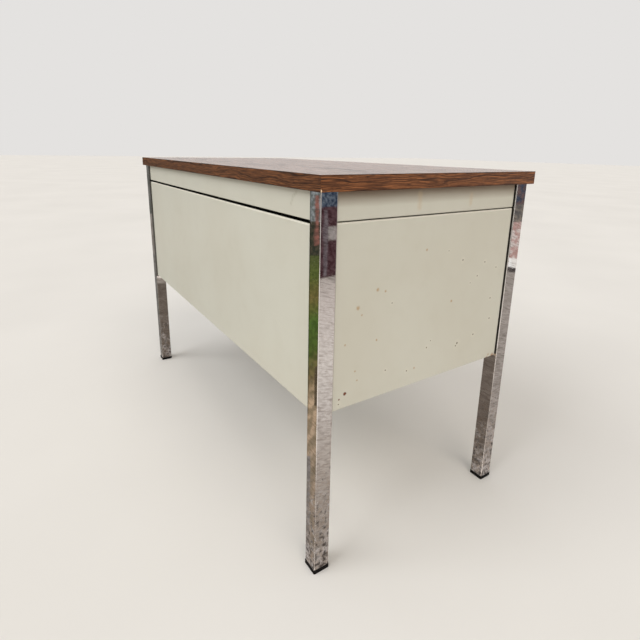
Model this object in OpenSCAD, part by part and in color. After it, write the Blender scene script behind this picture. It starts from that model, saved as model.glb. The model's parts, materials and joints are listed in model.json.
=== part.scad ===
// Single-pedestal steel desk with a wood-grain laminate top on four square chromed legs.
// The origin is on the floor under the middle of the desk. X runs along the desk, Y from the
// user's side (minus) to the visitor's side (plus) and Z up. All sizes are in millimetres.

/* [Overall] */
// Height of the writing surface above the floor
desk_h = 736.6; // [690:0.1:780]
// Length over the outer faces of the legs
frame_l = 1086; // [960:1:1500]
// Depth over the outer faces of the legs
frame_d = 514; // [480:1:760]

/* [Top] */
// Thickness of the finished top
top_t = 25.4; // [20:0.1:40]
// Overhang of the top past the legs at each end
end_overhang = 10; // [0:0.5:60]
// Overhang of the top past the legs at the front and at the back
side_overhang = 8; // [8:0.5:60]
// Thickness of the decorative laminate, of its backer sheet and of the edge bands
laminate_t = 1; // [0.6:0.1:1.6]

/* [Legs and feet] */
// Outer width of the square leg tube
leg_w = 31.75; // [28:0.25:45]
// Wall of the leg tube
leg_wall = 1.6; // [1.2:0.1:3]
// Outer corner radius of the leg tube
leg_corner_r = 1.4; // [0.6:0.1:3]
// Thickness of the plate that closes the top of each leg
leg_cap_t = 2; // [1:0.5:5]
// Thickness of the foot cap below the leg
foot_t = 6; // [3:0.5:15]
// Distance that the foot cap stands out past the leg all round
foot_lip = 1; // [0.5:0.1:4]
// Height of the foot cap's plug inside the leg
foot_plug_h = 18; // [8:1:40]
// Gap between the foot cap's plug and the inside of the leg
foot_clear = 0.2; // [0.1:0.05:0.6]

/* [Sheet steel] */
// Thickness of the sheet steel panels
sheet_t = 1.2; // [0.8:0.1:1.6]
// Inside radius of the folded vertical edges
fold_r = 0.8; // [0.4:0.1:2]
// Distance that the panels are set back from the outer faces of the legs
leg_recess = 4; // [0:0.5:8]
// Gap between a panel and the leg beside it
leg_gap = 1; // [0.5:0.1:2]

/* [Aprons and panels] */
// Height of the aprons under the top
apron_h = 47.6; // [44:0.1:60]
// Depth of the turned-in flanges of the aprons
apron_flange = 25; // [22:0.5:30]
// Depth of the left apron's lower flange, which carries the pedestal
hanger_flange = 40; // [38:0.5:48]
// Height of the lower edge of the end and back panels above the floor
panel_low = 330; // [300:1:345]
// Open gap between the back apron and the back panel
back_gap = 6; // [2:0.5:12]
// Seam between the end aprons and the end panels
end_gap = 2; // [1:0.5:5]
// Depth of the turned-in flanges of the end and back panels
panel_flange = 19; // [16:0.5:24]
// Depth of the back panel's upper hem
panel_hem = 4; // [3:0.5:10]
// Height of the black strip that closes the back gap from inside
gap_strip_h = 24; // [16:1:36]
// Distance of the gap strip behind the face of the back panel
gap_strip_in = 17; // [12:0.5:18]
// Height of the front rail behind the centre drawer's front
rail_h = 12; // [11:0.5:13]
// Depth of the flanges of the right cross rail
right_rail_flange = 12; // [8:0.5:16]
// Distance from the right legs' inner faces to the right cross rail's web
right_rail_set = 20; // [18:0.5:60]

/* [Pedestal] */
// Width of the pedestal, from the legs' outer faces to the kneehole
pedestal_w = 381; // [320:1:460]
// Gap between neighbouring drawer fronts
reveal = 3; // [2:0.5:5]
// Gap between the top and the fronts under it
top_reveal = 2; // [1:0.5:4]
// Thickness of the drawer fronts
front_t = 16; // [14:0.5:20]
// Gap between the closed drawer fronts and the case behind them
front_gap = 0.5; // [0.3:0.1:1.5]
// Clearance between the pedestal's back and the back panel's flanges
back_clear = 5; // [2:0.5:20]
// Depth of the top flanges by which the pedestal hangs
hang_lip = 20; // [18:0.5:28]
// Depth of the pedestal's inner seam flanges
seam_flange = 15; // [10:0.5:16]
// Height of the divider rail between the two drawers
divider_h = 12; // [8:0.5:14]
// Depth of the divider rail
divider_d = 25; // [15:1:40]

/* [Pedestal drawers] */
// Height of the box drawer bodies
body_h = 118; // [95:1:124]
// Height of a box drawer's bottom above the lower edge of its front
body_lift = 14; // [11:0.5:18]
// Gap behind the closed box drawers
body_back_gap = 35; // [15:1:80]
// Travel of the box drawers
box_travel = 330; // [250:1:345]
// Height of the slides' middle above the drawer bottom
slide_lift = 30; // [28:1:60]

/* [Slides] */
// Room for a slide between the case and the drawer body
slide_gap = 13; // [12.5:0.1:16]
// Height of the slide channels
runner_h = 24; // [20:0.5:26]
// Thickness of the slide channels
runner_t = 1.2; // [0.8:0.1:1.6]
// Gap between the case channel's edges and the drawer channel's edges
track_split = 0.5; // [0.3:0.1:1]
// Gap between a roller and the flanges that it runs between
roller_clear = 0.3; // [0.3:0.05:0.6]
// Width of the nylon rollers
roller_w = 3.4; // [2.5:0.1:3.6]
// Radius of the pin that a roller turns on
pin_r = 3; // [2:0.25:4]
// Radius of the pin's head and shoulder
pin_head_r = 5; // [4.5:0.25:7]
// Thickness of the pin's head
pin_head_t = 0.7; // [0.5:0.1:1]
// Radial running clearance of the rollers on their pins
pin_clear = 0.05; // [0.02:0.01:0.1]
// Side play of the rollers between shoulder and head
roller_play = 0.1; // [0.05:0.05:0.3]
// Gap between a pin's head and the web of the channel opposite
head_clear = 0.4; // [0.3:0.1:0.6]
// Distance from a channel's end to the roller beside it
roller_set = 2; // [1:0.5:10]

/* [Centre drawer] */
// Height of the centre drawer's tray
tray_h = 29; // [20:0.5:29]
// Gap between the tray's rim and the front rail above it
tray_drop = 2.2; // [1.8:0.1:5]
// Length of the tray behind the front
tray_d = 402; // [340:1:420]
// Open seam between the tray's back wall and its side walls
tray_seam = 0.3; // [0.1:0.1:1]
// Travel of the centre drawer
centre_travel = 300; // [200:1:330]
// Room between the tray and the cross rails
tray_side_gap = 14; // [12:0.5:20]
// Depth of the centre drawer's channels
channel_d = 10; // [8:0.5:11]
// Height inside the centre drawer's channels
channel_h = 6; // [4:0.5:8]
// Gap between the tray's running flanges and their channels
channel_clear = 0.3; // [0.2:0.05:0.5]
// Gap between the tray's running flanges and the channels' webs
channel_side_clear = 1.8; // [0.5:0.1:3]

/* [Pulls] */
// Distance that the pulls stand out from the drawer fronts
pull_reach = 11; // [8:0.5:12]
// Thickness of the pull extrusion
pull_t = 1.6; // [1.2:0.1:2.5]
// Depth of the pulls' turned nose
pull_nose = 9; // [6:0.5:14]
// Outer radius of the pulls' nose
pull_r = 3; // [2.5:0.1:5]

/* [Lock] */
// Radius of the lock's barrel
lock_r = 9; // [8:0.25:10]
// Radius of the lock's bezel
bezel_r = 11.5; // [10.5:0.25:14]
// Thickness of the lock's bezel
bezel_t = 2.5; // [1:0.5:4]
// Radius of the turning plug
plug_r = 5.5; // [4:0.25:6]
// Radial running clearance of the plug
plug_clear = 0.08; // [0.02:0.01:0.1]
// Radius of the plug's head in front of the bezel
plug_head_r = 7.5; // [6.5:0.25:9]
// Thickness of the plug's head
plug_head_t = 1; // [0.5:0.25:2]
// Width of the keyhole
key_w = 1.4; // [0.8:0.1:2]
// Height of the keyhole
key_h = 8; // [5:0.5:9]
// Depth of the keyhole
key_d = 9; // [5:0.5:15]
// Distance from the lock's axis to the tip of its cam
cam_reach = 21; // [19:0.5:23]
// Width of the cam
cam_w = 8; // [6:0.5:12]
// Thickness of the cam
cam_t = 2; // [1:0.25:3]
// Gap between the front rail and the cam behind it
cam_clear = 1.1; // [0.5:0.1:2]
// Distance of the lock's axis below the middle of the drawer front
lock_drop = 3; // [0:0.5:5]

/* [Fasteners] */
// Radius of the assembly bolts
bolt_r = 2.5; // [2:0.25:3]
// Clearance around bolts and screws in their holes
bolt_clear = 0.1; // [0.05:0.05:0.3]
// Corner radius of the hexagon bolt heads
bolt_head_r = 4.6; // [4:0.1:5]
// Height of the bolt heads
bolt_head_h = 3.2; // [2:0.1:4]
// Length of thread beyond the last wall
bolt_tail = 3; // [1:0.5:6]
// Radius of the raised pads around the bolt holes
pad_r = 6; // [5.2:0.1:7]
// Distance of the apron bolts from the apron's upper and lower edges
apron_bolt_edge = 12; // [9:0.5:16]
// Distance of the panel bolts from the panel's upper and lower edges
panel_bolt_edge = 40; // [20:1:90]
// Distance of the bolts from the outer face of an apron or panel
bolt_in = 11; // [9:0.5:12]
// Distance of the strip bolts behind the front plane of the case
strip_bolt_in = 6; // [5.5:0.1:7]
// Distance of the strip bolts from the pedestal's upper and lower edges
strip_bolt_edge = 22; // [20:0.5:24]
// Distance of the hanger bolts from the middle of the depth
hanger_bolt_y = 150; // [60:1:180]
// Radius of the top's wood screws
screw_r = 2; // [1.5:0.25:2.5]
// Radius of the screw heads
screw_head_r = 4; // [3:0.25:5]
// Height of the screw heads
screw_head_h = 2.5; // [1.5:0.25:3.5]
// Length of the screws above the flange that they hold
screw_l = 16; // [8:0.5:18]
// Distance of the outer screws from the middle of the length
screw_x = 400; // [250:5:450]

/* [Hidden] */
$fn = 48;

cream = "#C8C3B0";
chrome = "#B9BBBE";
walnut = "#6B442E";
particle_board = "#B89A6C";
kraft = "#4A3B2E";
black_plastic = "#1B1B1C";
zinc = "#9A9C9B";
nylon = "#E6E3D8";
satin_aluminium = "#A9ABAC";

// Planes of the frame, all on the plus side of each axis
top_x = frame_l / 2 + end_overhang;
top_y = frame_d / 2 + side_overhang;
leg_x = frame_l / 2 - leg_w;
leg_y = frame_d / 2 - leg_w;
face_x = frame_l / 2 - leg_recess;
face_y = frame_d / 2 - leg_recess;
under_z = desk_h - top_t;
apron_z = under_z - apron_h;
bend_r = fold_r + sheet_t;

// Widths of the pans between the legs, and heights of the pans below the aprons
back_w = 2 * (leg_x - leg_gap);
end_w = 2 * (leg_y - leg_gap);
back_panel_h = apron_z - back_gap - panel_low;
end_panel_h = apron_z - end_gap - panel_low;
apron_bolts = [apron_bolt_edge, apron_h - apron_bolt_edge];

// Case of the pedestal: its front plane, its inner faces and its top
case_y = -face_y + front_t + front_gap;
case_back_y = face_y - panel_flange - back_clear;
case_x0 = -leg_x + sheet_t;
knee_x = -frame_l / 2 + pedestal_w;
case_x1 = knee_x - sheet_t;
case_z1 = apron_z - end_gap;
right_rail_x = leg_x - right_rail_set;

// Drawer fronts: the plane of their backs, their ends and their heights
front_back_y = -face_y + front_t;
fronts_x0 = -leg_x + leg_gap;
box_front_w = knee_x - fronts_x0;
box_front_x = (knee_x + fronts_x0) / 2;
box_front_h = (apron_z - panel_low) / 2 - pull_t - reveal;
upper_z = panel_low + box_front_h + pull_t + reveal;
centre_x0 = knee_x + reveal;
centre_front_w = leg_x - leg_gap - centre_x0;
centre_front_x = centre_x0 + centre_front_w / 2;
centre_z0 = apron_z + pull_t;
centre_front_h = under_z - top_reveal - centre_z0;

// Box drawer bodies and their slides
body_x0 = case_x0 + slide_gap;
body_x1 = case_x1 - slide_gap;
body_y1 = case_back_y - sheet_t - body_back_gap;
runner_y0 = case_y + front_gap * 2;
track_w = (slide_gap - track_split) / 2;
roller_r = runner_h / 2 - runner_t - roller_clear;
roller_x1 = slide_gap - runner_t - head_clear - pin_head_t - roller_play;
roller_x0 = roller_x1 - roller_w;
case_roller_y = runner_y0 + roller_set + roller_r;
drawer_roller_y = body_y1 - roller_set - roller_r;
stop_w = 3;
stop_y = drawer_roller_y - box_travel - roller_r - front_gap;
lower_slide_z = panel_low + body_lift + slide_lift;
upper_slide_z = upper_z + body_lift + slide_lift;

// Centre drawer's tray and lock
tray_x0 = knee_x + tray_side_gap;
tray_x1 = right_rail_x - tray_side_gap;
tray_z1 = under_z - rail_h - tray_drop;
tray_z0 = tray_z1 - tray_h;
tray_y1 = front_back_y + tray_d;
channel_y1 = tray_y1 + body_back_gap / 2;
flange_w = tray_side_gap - sheet_t - channel_side_clear;
tray_stop_t = channel_side_clear - channel_clear;
tray_stop_y = tray_y1 - centre_travel - stop_w - front_gap;
lock_x = centre_front_x;
lock_z = centre_z0 + centre_front_h / 2 - lock_drop;
cam_y = case_y + sheet_t + cam_clear;

// A box given by two opposite corners
module block(a, b) {
    translate(a) cube(b - a);
}

// A square with rounded corners, centred
module round_square(w, r) {
    square([w - 2 * r, w], center = true);
    square([w, w - 2 * r], center = true);
    for (sx = [-1, 1], sy = [-1, 1])
        translate([sx * (w / 2 - r), sy * (w / 2 - r)]) circle(r);
}

// Plan of a pressed pan: its face is on y = 0 and its two front corners are folded round
module pan_plan(w, d, r) {
    translate([r - w / 2, 0]) square([w - 2 * r, d]);
    translate([-w / 2, r]) square([w, d - r]);
    for (s = [-1, 1]) translate([s * (w / 2 - r), r]) circle(r);
}

// A pressed pan: a face with flanges turned in at its ends, top and bottom
module pan(w, h, end_d, top_d, low_d) {
    linear_extrude(h) difference() {
        pan_plan(w, end_d, bend_r);
        translate([0, sheet_t]) pan_plan(w - 2 * sheet_t, end_d, fold_r);
    }
    linear_extrude(sheet_t) pan_plan(w, low_d, bend_r);
    translate([0, 0, h - sheet_t]) linear_extrude(sheet_t) pan_plan(w, top_d, bend_r);
}

// Places children on the end flanges of a pan, with z out through the flange
module at_ends(w, zs, y, sides = [-1, 1]) {
    for (s = sides, z = zs)
        translate([s * w / 2, y, z]) rotate([0, s * 90, 0]) children();
}

// A pan with raised pads and bolt holes in its end flanges
module bolted_pan(w, h, end_d, top_d, low_d, zs, y, sides = [-1, 1]) {
    difference() {
        union() {
            pan(w, h, end_d, top_d, low_d);
            at_ends(w, zs, y, sides) cylinder(r = pad_r, h = leg_gap);
        }
        at_ends(w, zs, y, sides) bolt_hole();
    }
}

// Four sides of the frame, each with x along the face and y inwards
module on_back(z) {
    translate([0, face_y, z]) rotate(180) children();
}
module on_left(z) {
    translate([-face_x, 0, z]) rotate(-90) children();
}
module on_right(z) {
    translate([face_x, 0, z]) rotate(90) children();
}
module on_front(x, z) {
    translate([x, -face_y, z]) children();
}

// A hexagon-head bolt: z = 0 is the outer face of the sheet that it clamps
module bolt(grip) {
    translate([0, 0, -sheet_t - bolt_head_h]) cylinder(r = bolt_head_r, h = bolt_head_h, $fn = 6);
    translate([0, 0, -sheet_t]) cylinder(r = bolt_r, h = sheet_t + grip + bolt_tail);
}

// The hole for such a bolt, long enough for the sheet, its pad and the wall beyond
module bolt_hole() {
    reach = sheet_t + end_gap + leg_gap + leg_wall + bolt_tail;
    translate([0, 0, -reach]) cylinder(r = bolt_r + bolt_clear, h = 2 * reach);
}

// Bolts that hold the aprons, the fixed front apron and the front rail to the legs
module at_apron_bolts() {
    on_back(apron_z) at_ends(back_w, apron_bolts, bolt_in) children();
    on_left(apron_z) at_ends(end_w, apron_bolts, bolt_in) children();
    on_right(apron_z) at_ends(end_w, apron_bolts, bolt_in) children();
    on_front(box_front_x, apron_z) at_ends(box_front_w, apron_bolts, front_t / 2, [-1]) children();
}
rail_bolt_z = under_z - rail_h / 2 - sheet_t;
module at_rail_bolts() {
    for (s = [-1, 1])
        translate([s * leg_x, case_y + strip_bolt_in, rail_bolt_z]) rotate([0, s * 90, 0]) children();
}

// Bolts that hold the back panel and the end panels to the legs
module at_panel_bolts() {
    back_zs = [panel_bolt_edge, back_panel_h - panel_bolt_edge];
    end_zs = [panel_bolt_edge, end_panel_h - panel_bolt_edge];
    on_back(panel_low) at_ends(back_w, back_zs, bolt_in) children();
    on_left(panel_low) at_ends(end_w, end_zs, bolt_in) children();
    on_right(panel_low) at_ends(end_w, end_zs, bolt_in) children();
}

// Bolts through the pedestal's outer side into the front leg
module at_strip_bolts() {
    for (z = [panel_low + strip_bolt_edge, case_z1 - strip_bolt_edge])
        translate([-leg_x, case_y + strip_bolt_in, z]) rotate([0, -90, 0]) children();
}

// Bolts by which the pedestal hangs from the left apron and from the left cross rail
outer_hang_x = (-leg_x - face_x + hanger_flange) / 2;
inner_hang_x = knee_x - hang_lip / 2 - sheet_t;
module at_outer_hangers() {
    for (s = [-1, 1]) translate([outer_hang_x, s * hanger_bolt_y, case_z1]) children();
}
module at_inner_hangers() {
    for (s = [-1, 1]) translate([inner_hang_x, s * hanger_bolt_y, case_z1]) children();
}

// Wood screws up through the top flanges of the aprons and the front rail into the top
module at_top_screws() {
    for (x = [-screw_x, 0, screw_x], y = [face_y - apron_flange / 2, case_y + apron_flange / 2])
        translate([x, y, under_z - sheet_t]) children();
    for (s = [-1, 1])
        translate([s * (face_x - apron_flange / 2), 0, under_z - sheet_t]) children();
}
module screw_hole() {
    translate([0, 0, -sheet_t]) cylinder(r = screw_r + bolt_clear, h = 2 * sheet_t + screw_l);
}

// Top: particle-board core between a laminate sheet and a backer, with banded edges
core_z0 = under_z + laminate_t;
core_z1 = desk_h - laminate_t;
core_x = top_x - laminate_t;
core_y = top_y - laminate_t;

module top_core() {
    color(particle_board) difference() {
        block([-core_x, -core_y, core_z0], [core_x, core_y, core_z1]);
        at_top_screws() screw_hole();
    }
}
module top_laminate() {
    color(walnut) block([-top_x, -top_y, core_z1], [top_x, top_y, desk_h]);
}
module top_backer() {
    color(kraft) difference() {
        block([-core_x, -core_y, under_z], [core_x, core_y, core_z0]);
        at_top_screws() screw_hole();
    }
}
module long_edge_band(s) {
    color(walnut) translate([0, s * (top_y - laminate_t / 2), (under_z + core_z1) / 2])
        cube([2 * top_x, laminate_t, core_z1 - under_z], center = true);
}
module short_edge_band(s) {
    color(walnut) translate([s * (top_x - laminate_t / 2), 0, (under_z + core_z1) / 2])
        cube([laminate_t, 2 * core_y, core_z1 - under_z], center = true);
}

// Legs: square tubes with a closed top, drilled for the bolts of what they carry
module leg(sx, sy) {
    color(chrome) difference() {
        translate([sx * (frame_l - leg_w) / 2, sy * (frame_d - leg_w) / 2, 0]) difference() {
            translate([0, 0, foot_t]) linear_extrude(under_z - foot_t) round_square(leg_w, leg_corner_r);
            translate([0, 0, foot_t - 1]) linear_extrude(under_z - leg_cap_t - foot_t + 1)
                square(leg_w - 2 * leg_wall, center = true);
        }
        at_apron_bolts() bolt_hole();
        at_rail_bolts() bolt_hole();
        at_panel_bolts() bolt_hole();
        at_strip_bolts() bolt_hole();
    }
}
module foot(sx, sy) {
    plug_w = leg_w - 2 * leg_wall - 2 * foot_clear;
    color(black_plastic) translate([sx * (frame_l - leg_w) / 2, sy * (frame_d - leg_w) / 2, 0]) {
        linear_extrude(foot_t) round_square(leg_w + 2 * foot_lip, leg_corner_r + foot_lip);
        linear_extrude(foot_t + foot_plug_h) square(plug_w, center = true);
    }
}

// Aprons under the top
module back_apron() {
    color(cream) difference() {
        on_back(apron_z)
            bolted_pan(back_w, apron_h, apron_flange, apron_flange, apron_flange, apron_bolts, bolt_in);
        at_top_screws() screw_hole();
    }
}
module left_apron() {
    color(cream) difference() {
        on_left(apron_z)
            bolted_pan(end_w, apron_h, apron_flange, apron_flange, hanger_flange, apron_bolts, bolt_in);
        at_top_screws() screw_hole();
        at_outer_hangers() bolt_hole();
    }
}
module right_apron() {
    color(cream) difference() {
        on_right(apron_z)
            bolted_pan(end_w, apron_h, apron_flange, apron_flange, apron_flange, apron_bolts, bolt_in);
        at_top_screws() screw_hole();
    }
}
module front_apron() {
    depth = front_t + front_gap;
    h = centre_z0 + centre_front_h - apron_z;
    color(cream) on_front(box_front_x, apron_z)
        bolted_pan(box_front_w, h, depth, depth, depth, apron_bolts, front_t / 2, [-1]);
}

// Rails inside the frame
module front_rail() {
    color(cream) difference() {
        union() {
            block([-leg_x, case_y, under_z - rail_h], [leg_x, case_y + sheet_t, under_z]);
            block([-leg_x, case_y, under_z - sheet_t], [leg_x, case_y + apron_flange, under_z]);
            for (x = [-leg_x, leg_x - sheet_t])
                block([x, case_y, under_z - rail_h], [x + sheet_t, case_y + apron_flange, under_z]);
        }
        at_rail_bolts() bolt_hole();
        at_top_screws() screw_hole();
    }
}

// A cross rail: a channel from the front rail to the back apron, web on x = 0, flanges to side s
module cross_rail(s, flange) {
    y0 = case_y + sheet_t;
    y1 = face_y - sheet_t;
    z0 = apron_z + sheet_t;
    z1 = under_z - sheet_t;
    for (z = [z0, z1 - sheet_t])
        block([min(0, s * flange), y0, z], [max(0, s * flange), y1, z + sheet_t]);
    block([min(0, s * sheet_t), y0, z0], [max(0, s * sheet_t), y1, z1]);
}
module left_cross_rail() {
    color(cream) difference() {
        translate([knee_x, 0, 0]) cross_rail(-1, apron_flange);
        at_inner_hangers() bolt_hole();
    }
}
module right_cross_rail() {
    color(cream) translate([right_rail_x, 0, 0]) cross_rail(1, right_rail_flange);
}

// Back and end panels
module back_panel() {
    zs = [panel_bolt_edge, back_panel_h - panel_bolt_edge];
    color(cream) on_back(panel_low)
        bolted_pan(back_w, back_panel_h, panel_flange, panel_hem, panel_flange, zs, bolt_in);
}
// A black angle welded under the back apron's lower flange, behind the open gap
module back_gap_strip() {
    x1 = back_w / 2 - sheet_t - leg_gap;
    y1 = face_y - gap_strip_in;
    color(black_plastic) {
        block([-x1, y1 - sheet_t, apron_z - gap_strip_h], [x1, y1, apron_z]);
        block([-x1, face_y - apron_flange, apron_z - sheet_t], [x1, y1, apron_z]);
    }
}
module end_panel() {
    zs = [panel_bolt_edge, end_panel_h - panel_bolt_edge];
    bolted_pan(end_w, end_panel_h, panel_flange, panel_flange, panel_flange, zs, bolt_in);
}
module left_end_panel() {
    color(cream) on_left(panel_low) end_panel();
}
module right_end_panel() {
    color(cream) on_right(panel_low) end_panel();
}

// Pedestal case
module pedestal_outer_side() {
    color(cream) difference() {
        union() {
            block([-leg_x, case_y, panel_low], [case_x0, case_back_y, case_z1]);
            block([-leg_x, case_y, case_z1 - sheet_t], [hang_lip - leg_x, case_back_y, case_z1]);
            at_outer_hangers() cylinder(r = pad_r, h = end_gap);
        }
        at_outer_hangers() bolt_hole();
        at_strip_bolts() bolt_hole();
    }
}
module pedestal_inner_side() {
    color(cream) difference() {
        union() {
            block([case_x1, case_y, panel_low], [knee_x, case_back_y, case_z1]);
            block([knee_x - hang_lip, case_y, case_z1 - sheet_t], [knee_x, case_back_y, case_z1]);
            at_inner_hangers() cylinder(r = pad_r, h = end_gap + sheet_t);
        }
        at_inner_hangers() bolt_hole();
    }
}
module pedestal_back() {
    z0 = panel_low + sheet_t;
    z1 = case_z1 - sheet_t;
    color(cream) {
        block([case_x0, case_back_y - sheet_t, z0], [case_x1, case_back_y, z1]);
        for (x = [case_x0, case_x1 - sheet_t])
            block([x, case_back_y - seam_flange, z0], [x + sheet_t, case_back_y, z1]);
    }
}
module pedestal_bottom() {
    y1 = case_back_y - seam_flange;
    color(cream) {
        block([case_x0, case_y, panel_low], [case_x1, case_back_y, panel_low + sheet_t]);
        for (x = [case_x0, case_x1 - sheet_t])
            block([x, case_y, panel_low], [x + sheet_t, y1, panel_low + seam_flange]);
        block([case_x0, case_y, panel_low], [case_x1, case_y + sheet_t, panel_low + body_lift / 2]);
    }
}
module divider_rail() {
    z0 = upper_z - (reveal + divider_h) / 2;
    color(cream) {
        block([case_x0, case_y, z0], [case_x1, case_y + sheet_t, z0 + divider_h]);
        for (z = [z0, z0 + divider_h - sheet_t])
            block([case_x0, case_y, z], [case_x1, case_y + divider_d, z + sheet_t]);
    }
}

// Fasteners
module assembly_bolts() {
    color(zinc) {
        at_apron_bolts() bolt(leg_gap + leg_wall);
        at_rail_bolts() bolt(leg_wall);
        at_panel_bolts() bolt(leg_gap + leg_wall);
        at_strip_bolts() bolt(leg_wall);
        at_outer_hangers() bolt(end_gap + sheet_t);
        at_inner_hangers() bolt(end_gap + 2 * sheet_t);
    }
}
module top_screws() {
    color(zinc) at_top_screws() {
        translate([0, 0, -screw_head_h]) cylinder(r = screw_head_r, h = screw_head_h);
        cylinder(r = screw_r, h = screw_l);
    }
}

// Slides. x = 0 is the wall that a channel is fixed to, and x grows towards the other channel.
// The case's slides and the drawers' slides are the same, face to face.
module at_case_sides(z) {
    translate([case_x0, 0, z]) children();
    translate([case_x1, 0, z]) mirror([1, 0, 0]) children();
}
module at_drawer_sides(z) {
    translate([body_x0, 0, z]) mirror([1, 0, 0]) children();
    translate([body_x1, 0, z]) children();
}
module runner(roller_y) {
    difference() {
        union() {
            block([0, runner_y0, -runner_h / 2], [runner_t, body_y1, runner_h / 2]);
            for (z = [-runner_h / 2, runner_h / 2 - runner_t])
                block([0, runner_y0, z], [track_w, body_y1, z + runner_t]);
        }
        translate([-1, roller_y, 0]) rotate([0, 90, 0]) cylinder(r = pin_r + pin_clear, h = runner_t + 2);
    }
}
module roller_pin(y) {
    translate([0, y, 0]) rotate([0, 90, 0]) {
        cylinder(r = pin_r, h = roller_x1 + roller_play);
        translate([0, 0, runner_t]) cylinder(r = pin_head_r, h = roller_x0 - roller_play - runner_t);
        translate([0, 0, roller_x1 + roller_play]) cylinder(r = pin_head_r, h = pin_head_t);
    }
}
module roller(y) {
    translate([roller_x0, y, 0]) rotate([0, 90, 0]) difference() {
        cylinder(r = roller_r, h = roller_w);
        translate([0, 0, -1]) cylinder(r = pin_r + pin_clear, h = roller_w + 2);
    }
}

module case_runners() {
    color(zinc) for (z = [lower_slide_z, upper_slide_z]) at_case_sides(z) {
        runner(case_roller_y);
        block([runner_t, stop_y - stop_w, -runner_h / 2], [track_w, stop_y, -runner_h / 4]);
    }
}
module drawer_runners(z) {
    color(zinc) at_drawer_sides(z) runner(drawer_roller_y);
}
module case_roller_pins() {
    color(zinc) for (z = [lower_slide_z, upper_slide_z]) at_case_sides(z) roller_pin(case_roller_y);
}
module drawer_roller_pins(z) {
    color(zinc) at_drawer_sides(z) roller_pin(drawer_roller_y);
}
module case_rollers(z) {
    color(nylon) at_case_sides(z) roller(case_roller_y);
}
module drawer_rollers(z) {
    color(nylon) at_drawer_sides(z) roller(drawer_roller_y);
}

// Box drawers: z is the lower edge of the drawer's front
module box_body(z) {
    z0 = z + body_lift;
    color(cream) difference() {
        block([body_x0, front_back_y, z0], [body_x1, body_y1, z0 + body_h]);
        block([body_x0 + sheet_t, front_back_y + sheet_t, z0 + sheet_t],
              [body_x1 - sheet_t, body_y1 - sheet_t, z0 + body_h + 1]);
    }
}
module box_front(z) {
    color(cream) on_front(box_front_x, z) pan(box_front_w, box_front_h, front_t, front_t, front_t);
}
module box_front_liner(z) {
    color(cream) block([fronts_x0 + sheet_t, front_back_y - sheet_t, z + sheet_t],
                       [knee_x - sheet_t, front_back_y, z + box_front_h - sheet_t]);
}

// Section of a pull: y < 0 stands out in front of the drawer, and the nose turns down
module pull_section() {
    translate([pull_r - pull_reach, 0]) square([pull_reach + front_t - pull_r, pull_t]);
    translate([-pull_reach, pull_t - pull_nose]) square([pull_t, pull_nose - pull_r]);
    translate([pull_r - pull_reach, pull_t - pull_r]) intersection() {
        difference() {
            circle(pull_r);
            circle(pull_r - pull_t);
        }
        translate([-pull_r, 0]) square(pull_r);
    }
}
module pull(x0, x1) {
    translate([x0, -face_y, 0]) rotate([90, 0, 90]) linear_extrude(x1 - x0) pull_section();
}
module box_pull(z) {
    color(satin_aluminium) translate([0, 0, z + box_front_h]) pull(fronts_x0, knee_x);
}

// Centre drawer
module centre_drawer_channels() {
    z0 = tray_z1 + channel_clear - channel_h - sheet_t;
    z1 = z0 + channel_h + 2 * sheet_t;
    y0 = case_y + sheet_t;
    color(zinc) for (side = [[knee_x, 1], [right_rail_x, -1]])
        translate([side[0], 0, 0]) mirror([side[1] < 0 ? 1 : 0, 0, 0]) {
            block([0, y0, z0], [sheet_t, channel_y1, z1]);
            for (z = [z0, z1 - sheet_t])
                block([0, y0, z], [channel_d, channel_y1, z + sheet_t]);
            block([sheet_t, tray_stop_y - stop_w, z0], [sheet_t + tray_stop_t, tray_stop_y, z1]);
        }
}
module lock_bore(r) {
    translate([lock_x, 0, lock_z]) rotate([90, 0, 0]) cylinder(r = r, h = frame_d);
}
module centre_drawer_bottom() {
    color(cream) block([tray_x0, front_back_y, tray_z0], [tray_x1, tray_y1, tray_z0 + sheet_t]);
}
// Strips welded round the tray's bottom: a back wall, and two side walls whose turned-out edges
// run in the channels, each with a stop at its far end. The front's liner closes the fourth side.
module centre_drawer_rim() {
    wall_z = tray_z0 + sheet_t;
    lip_z = tray_z1 - channel_h + 2 * channel_clear;
    edge_y = case_y + sheet_t;
    back_in = sheet_t + tray_seam;
    color(cream) {
        block([tray_x0 + back_in, tray_y1 - sheet_t, wall_z], [tray_x1 - back_in, tray_y1, tray_z1]);
        for (side = [[tray_x0, -1], [tray_x1, 1]])
            translate([side[0], 0, 0]) mirror([side[1] < 0 ? 1 : 0, 0, 0]) {
                block([-sheet_t, front_back_y, wall_z], [0, tray_y1, tray_z1]);
                block([-sheet_t, edge_y, tray_z1 - sheet_t], [flange_w, tray_y1, tray_z1]);
                block([flange_w - sheet_t, edge_y, lip_z], [flange_w, tray_y1, tray_z1]);
                block([flange_w, tray_y1 - stop_w, lip_z], [flange_w + tray_stop_t, tray_y1, tray_z1]);
            }
    }
}
module centre_drawer_front_liner() {
    x1 = centre_x0 + centre_front_w - sheet_t;
    z1 = centre_z0 + centre_front_h - sheet_t;
    color(cream) difference() {
        block([centre_x0 + sheet_t, front_back_y - sheet_t, centre_z0 + sheet_t], [x1, front_back_y, z1]);
        lock_bore(lock_r + bolt_clear);
    }
}
module centre_drawer_front() {
    color(cream) difference() {
        on_front(centre_front_x, centre_z0)
            pan(centre_front_w, centre_front_h, front_t, front_t, front_t);
        lock_bore(lock_r + bolt_clear);
    }
}
module centre_drawer_pull() {
    color(satin_aluminium) translate([0, 0, centre_z0]) mirror([0, 0, 1])
        pull(centre_x0, centre_x0 + centre_front_w);
}

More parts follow.
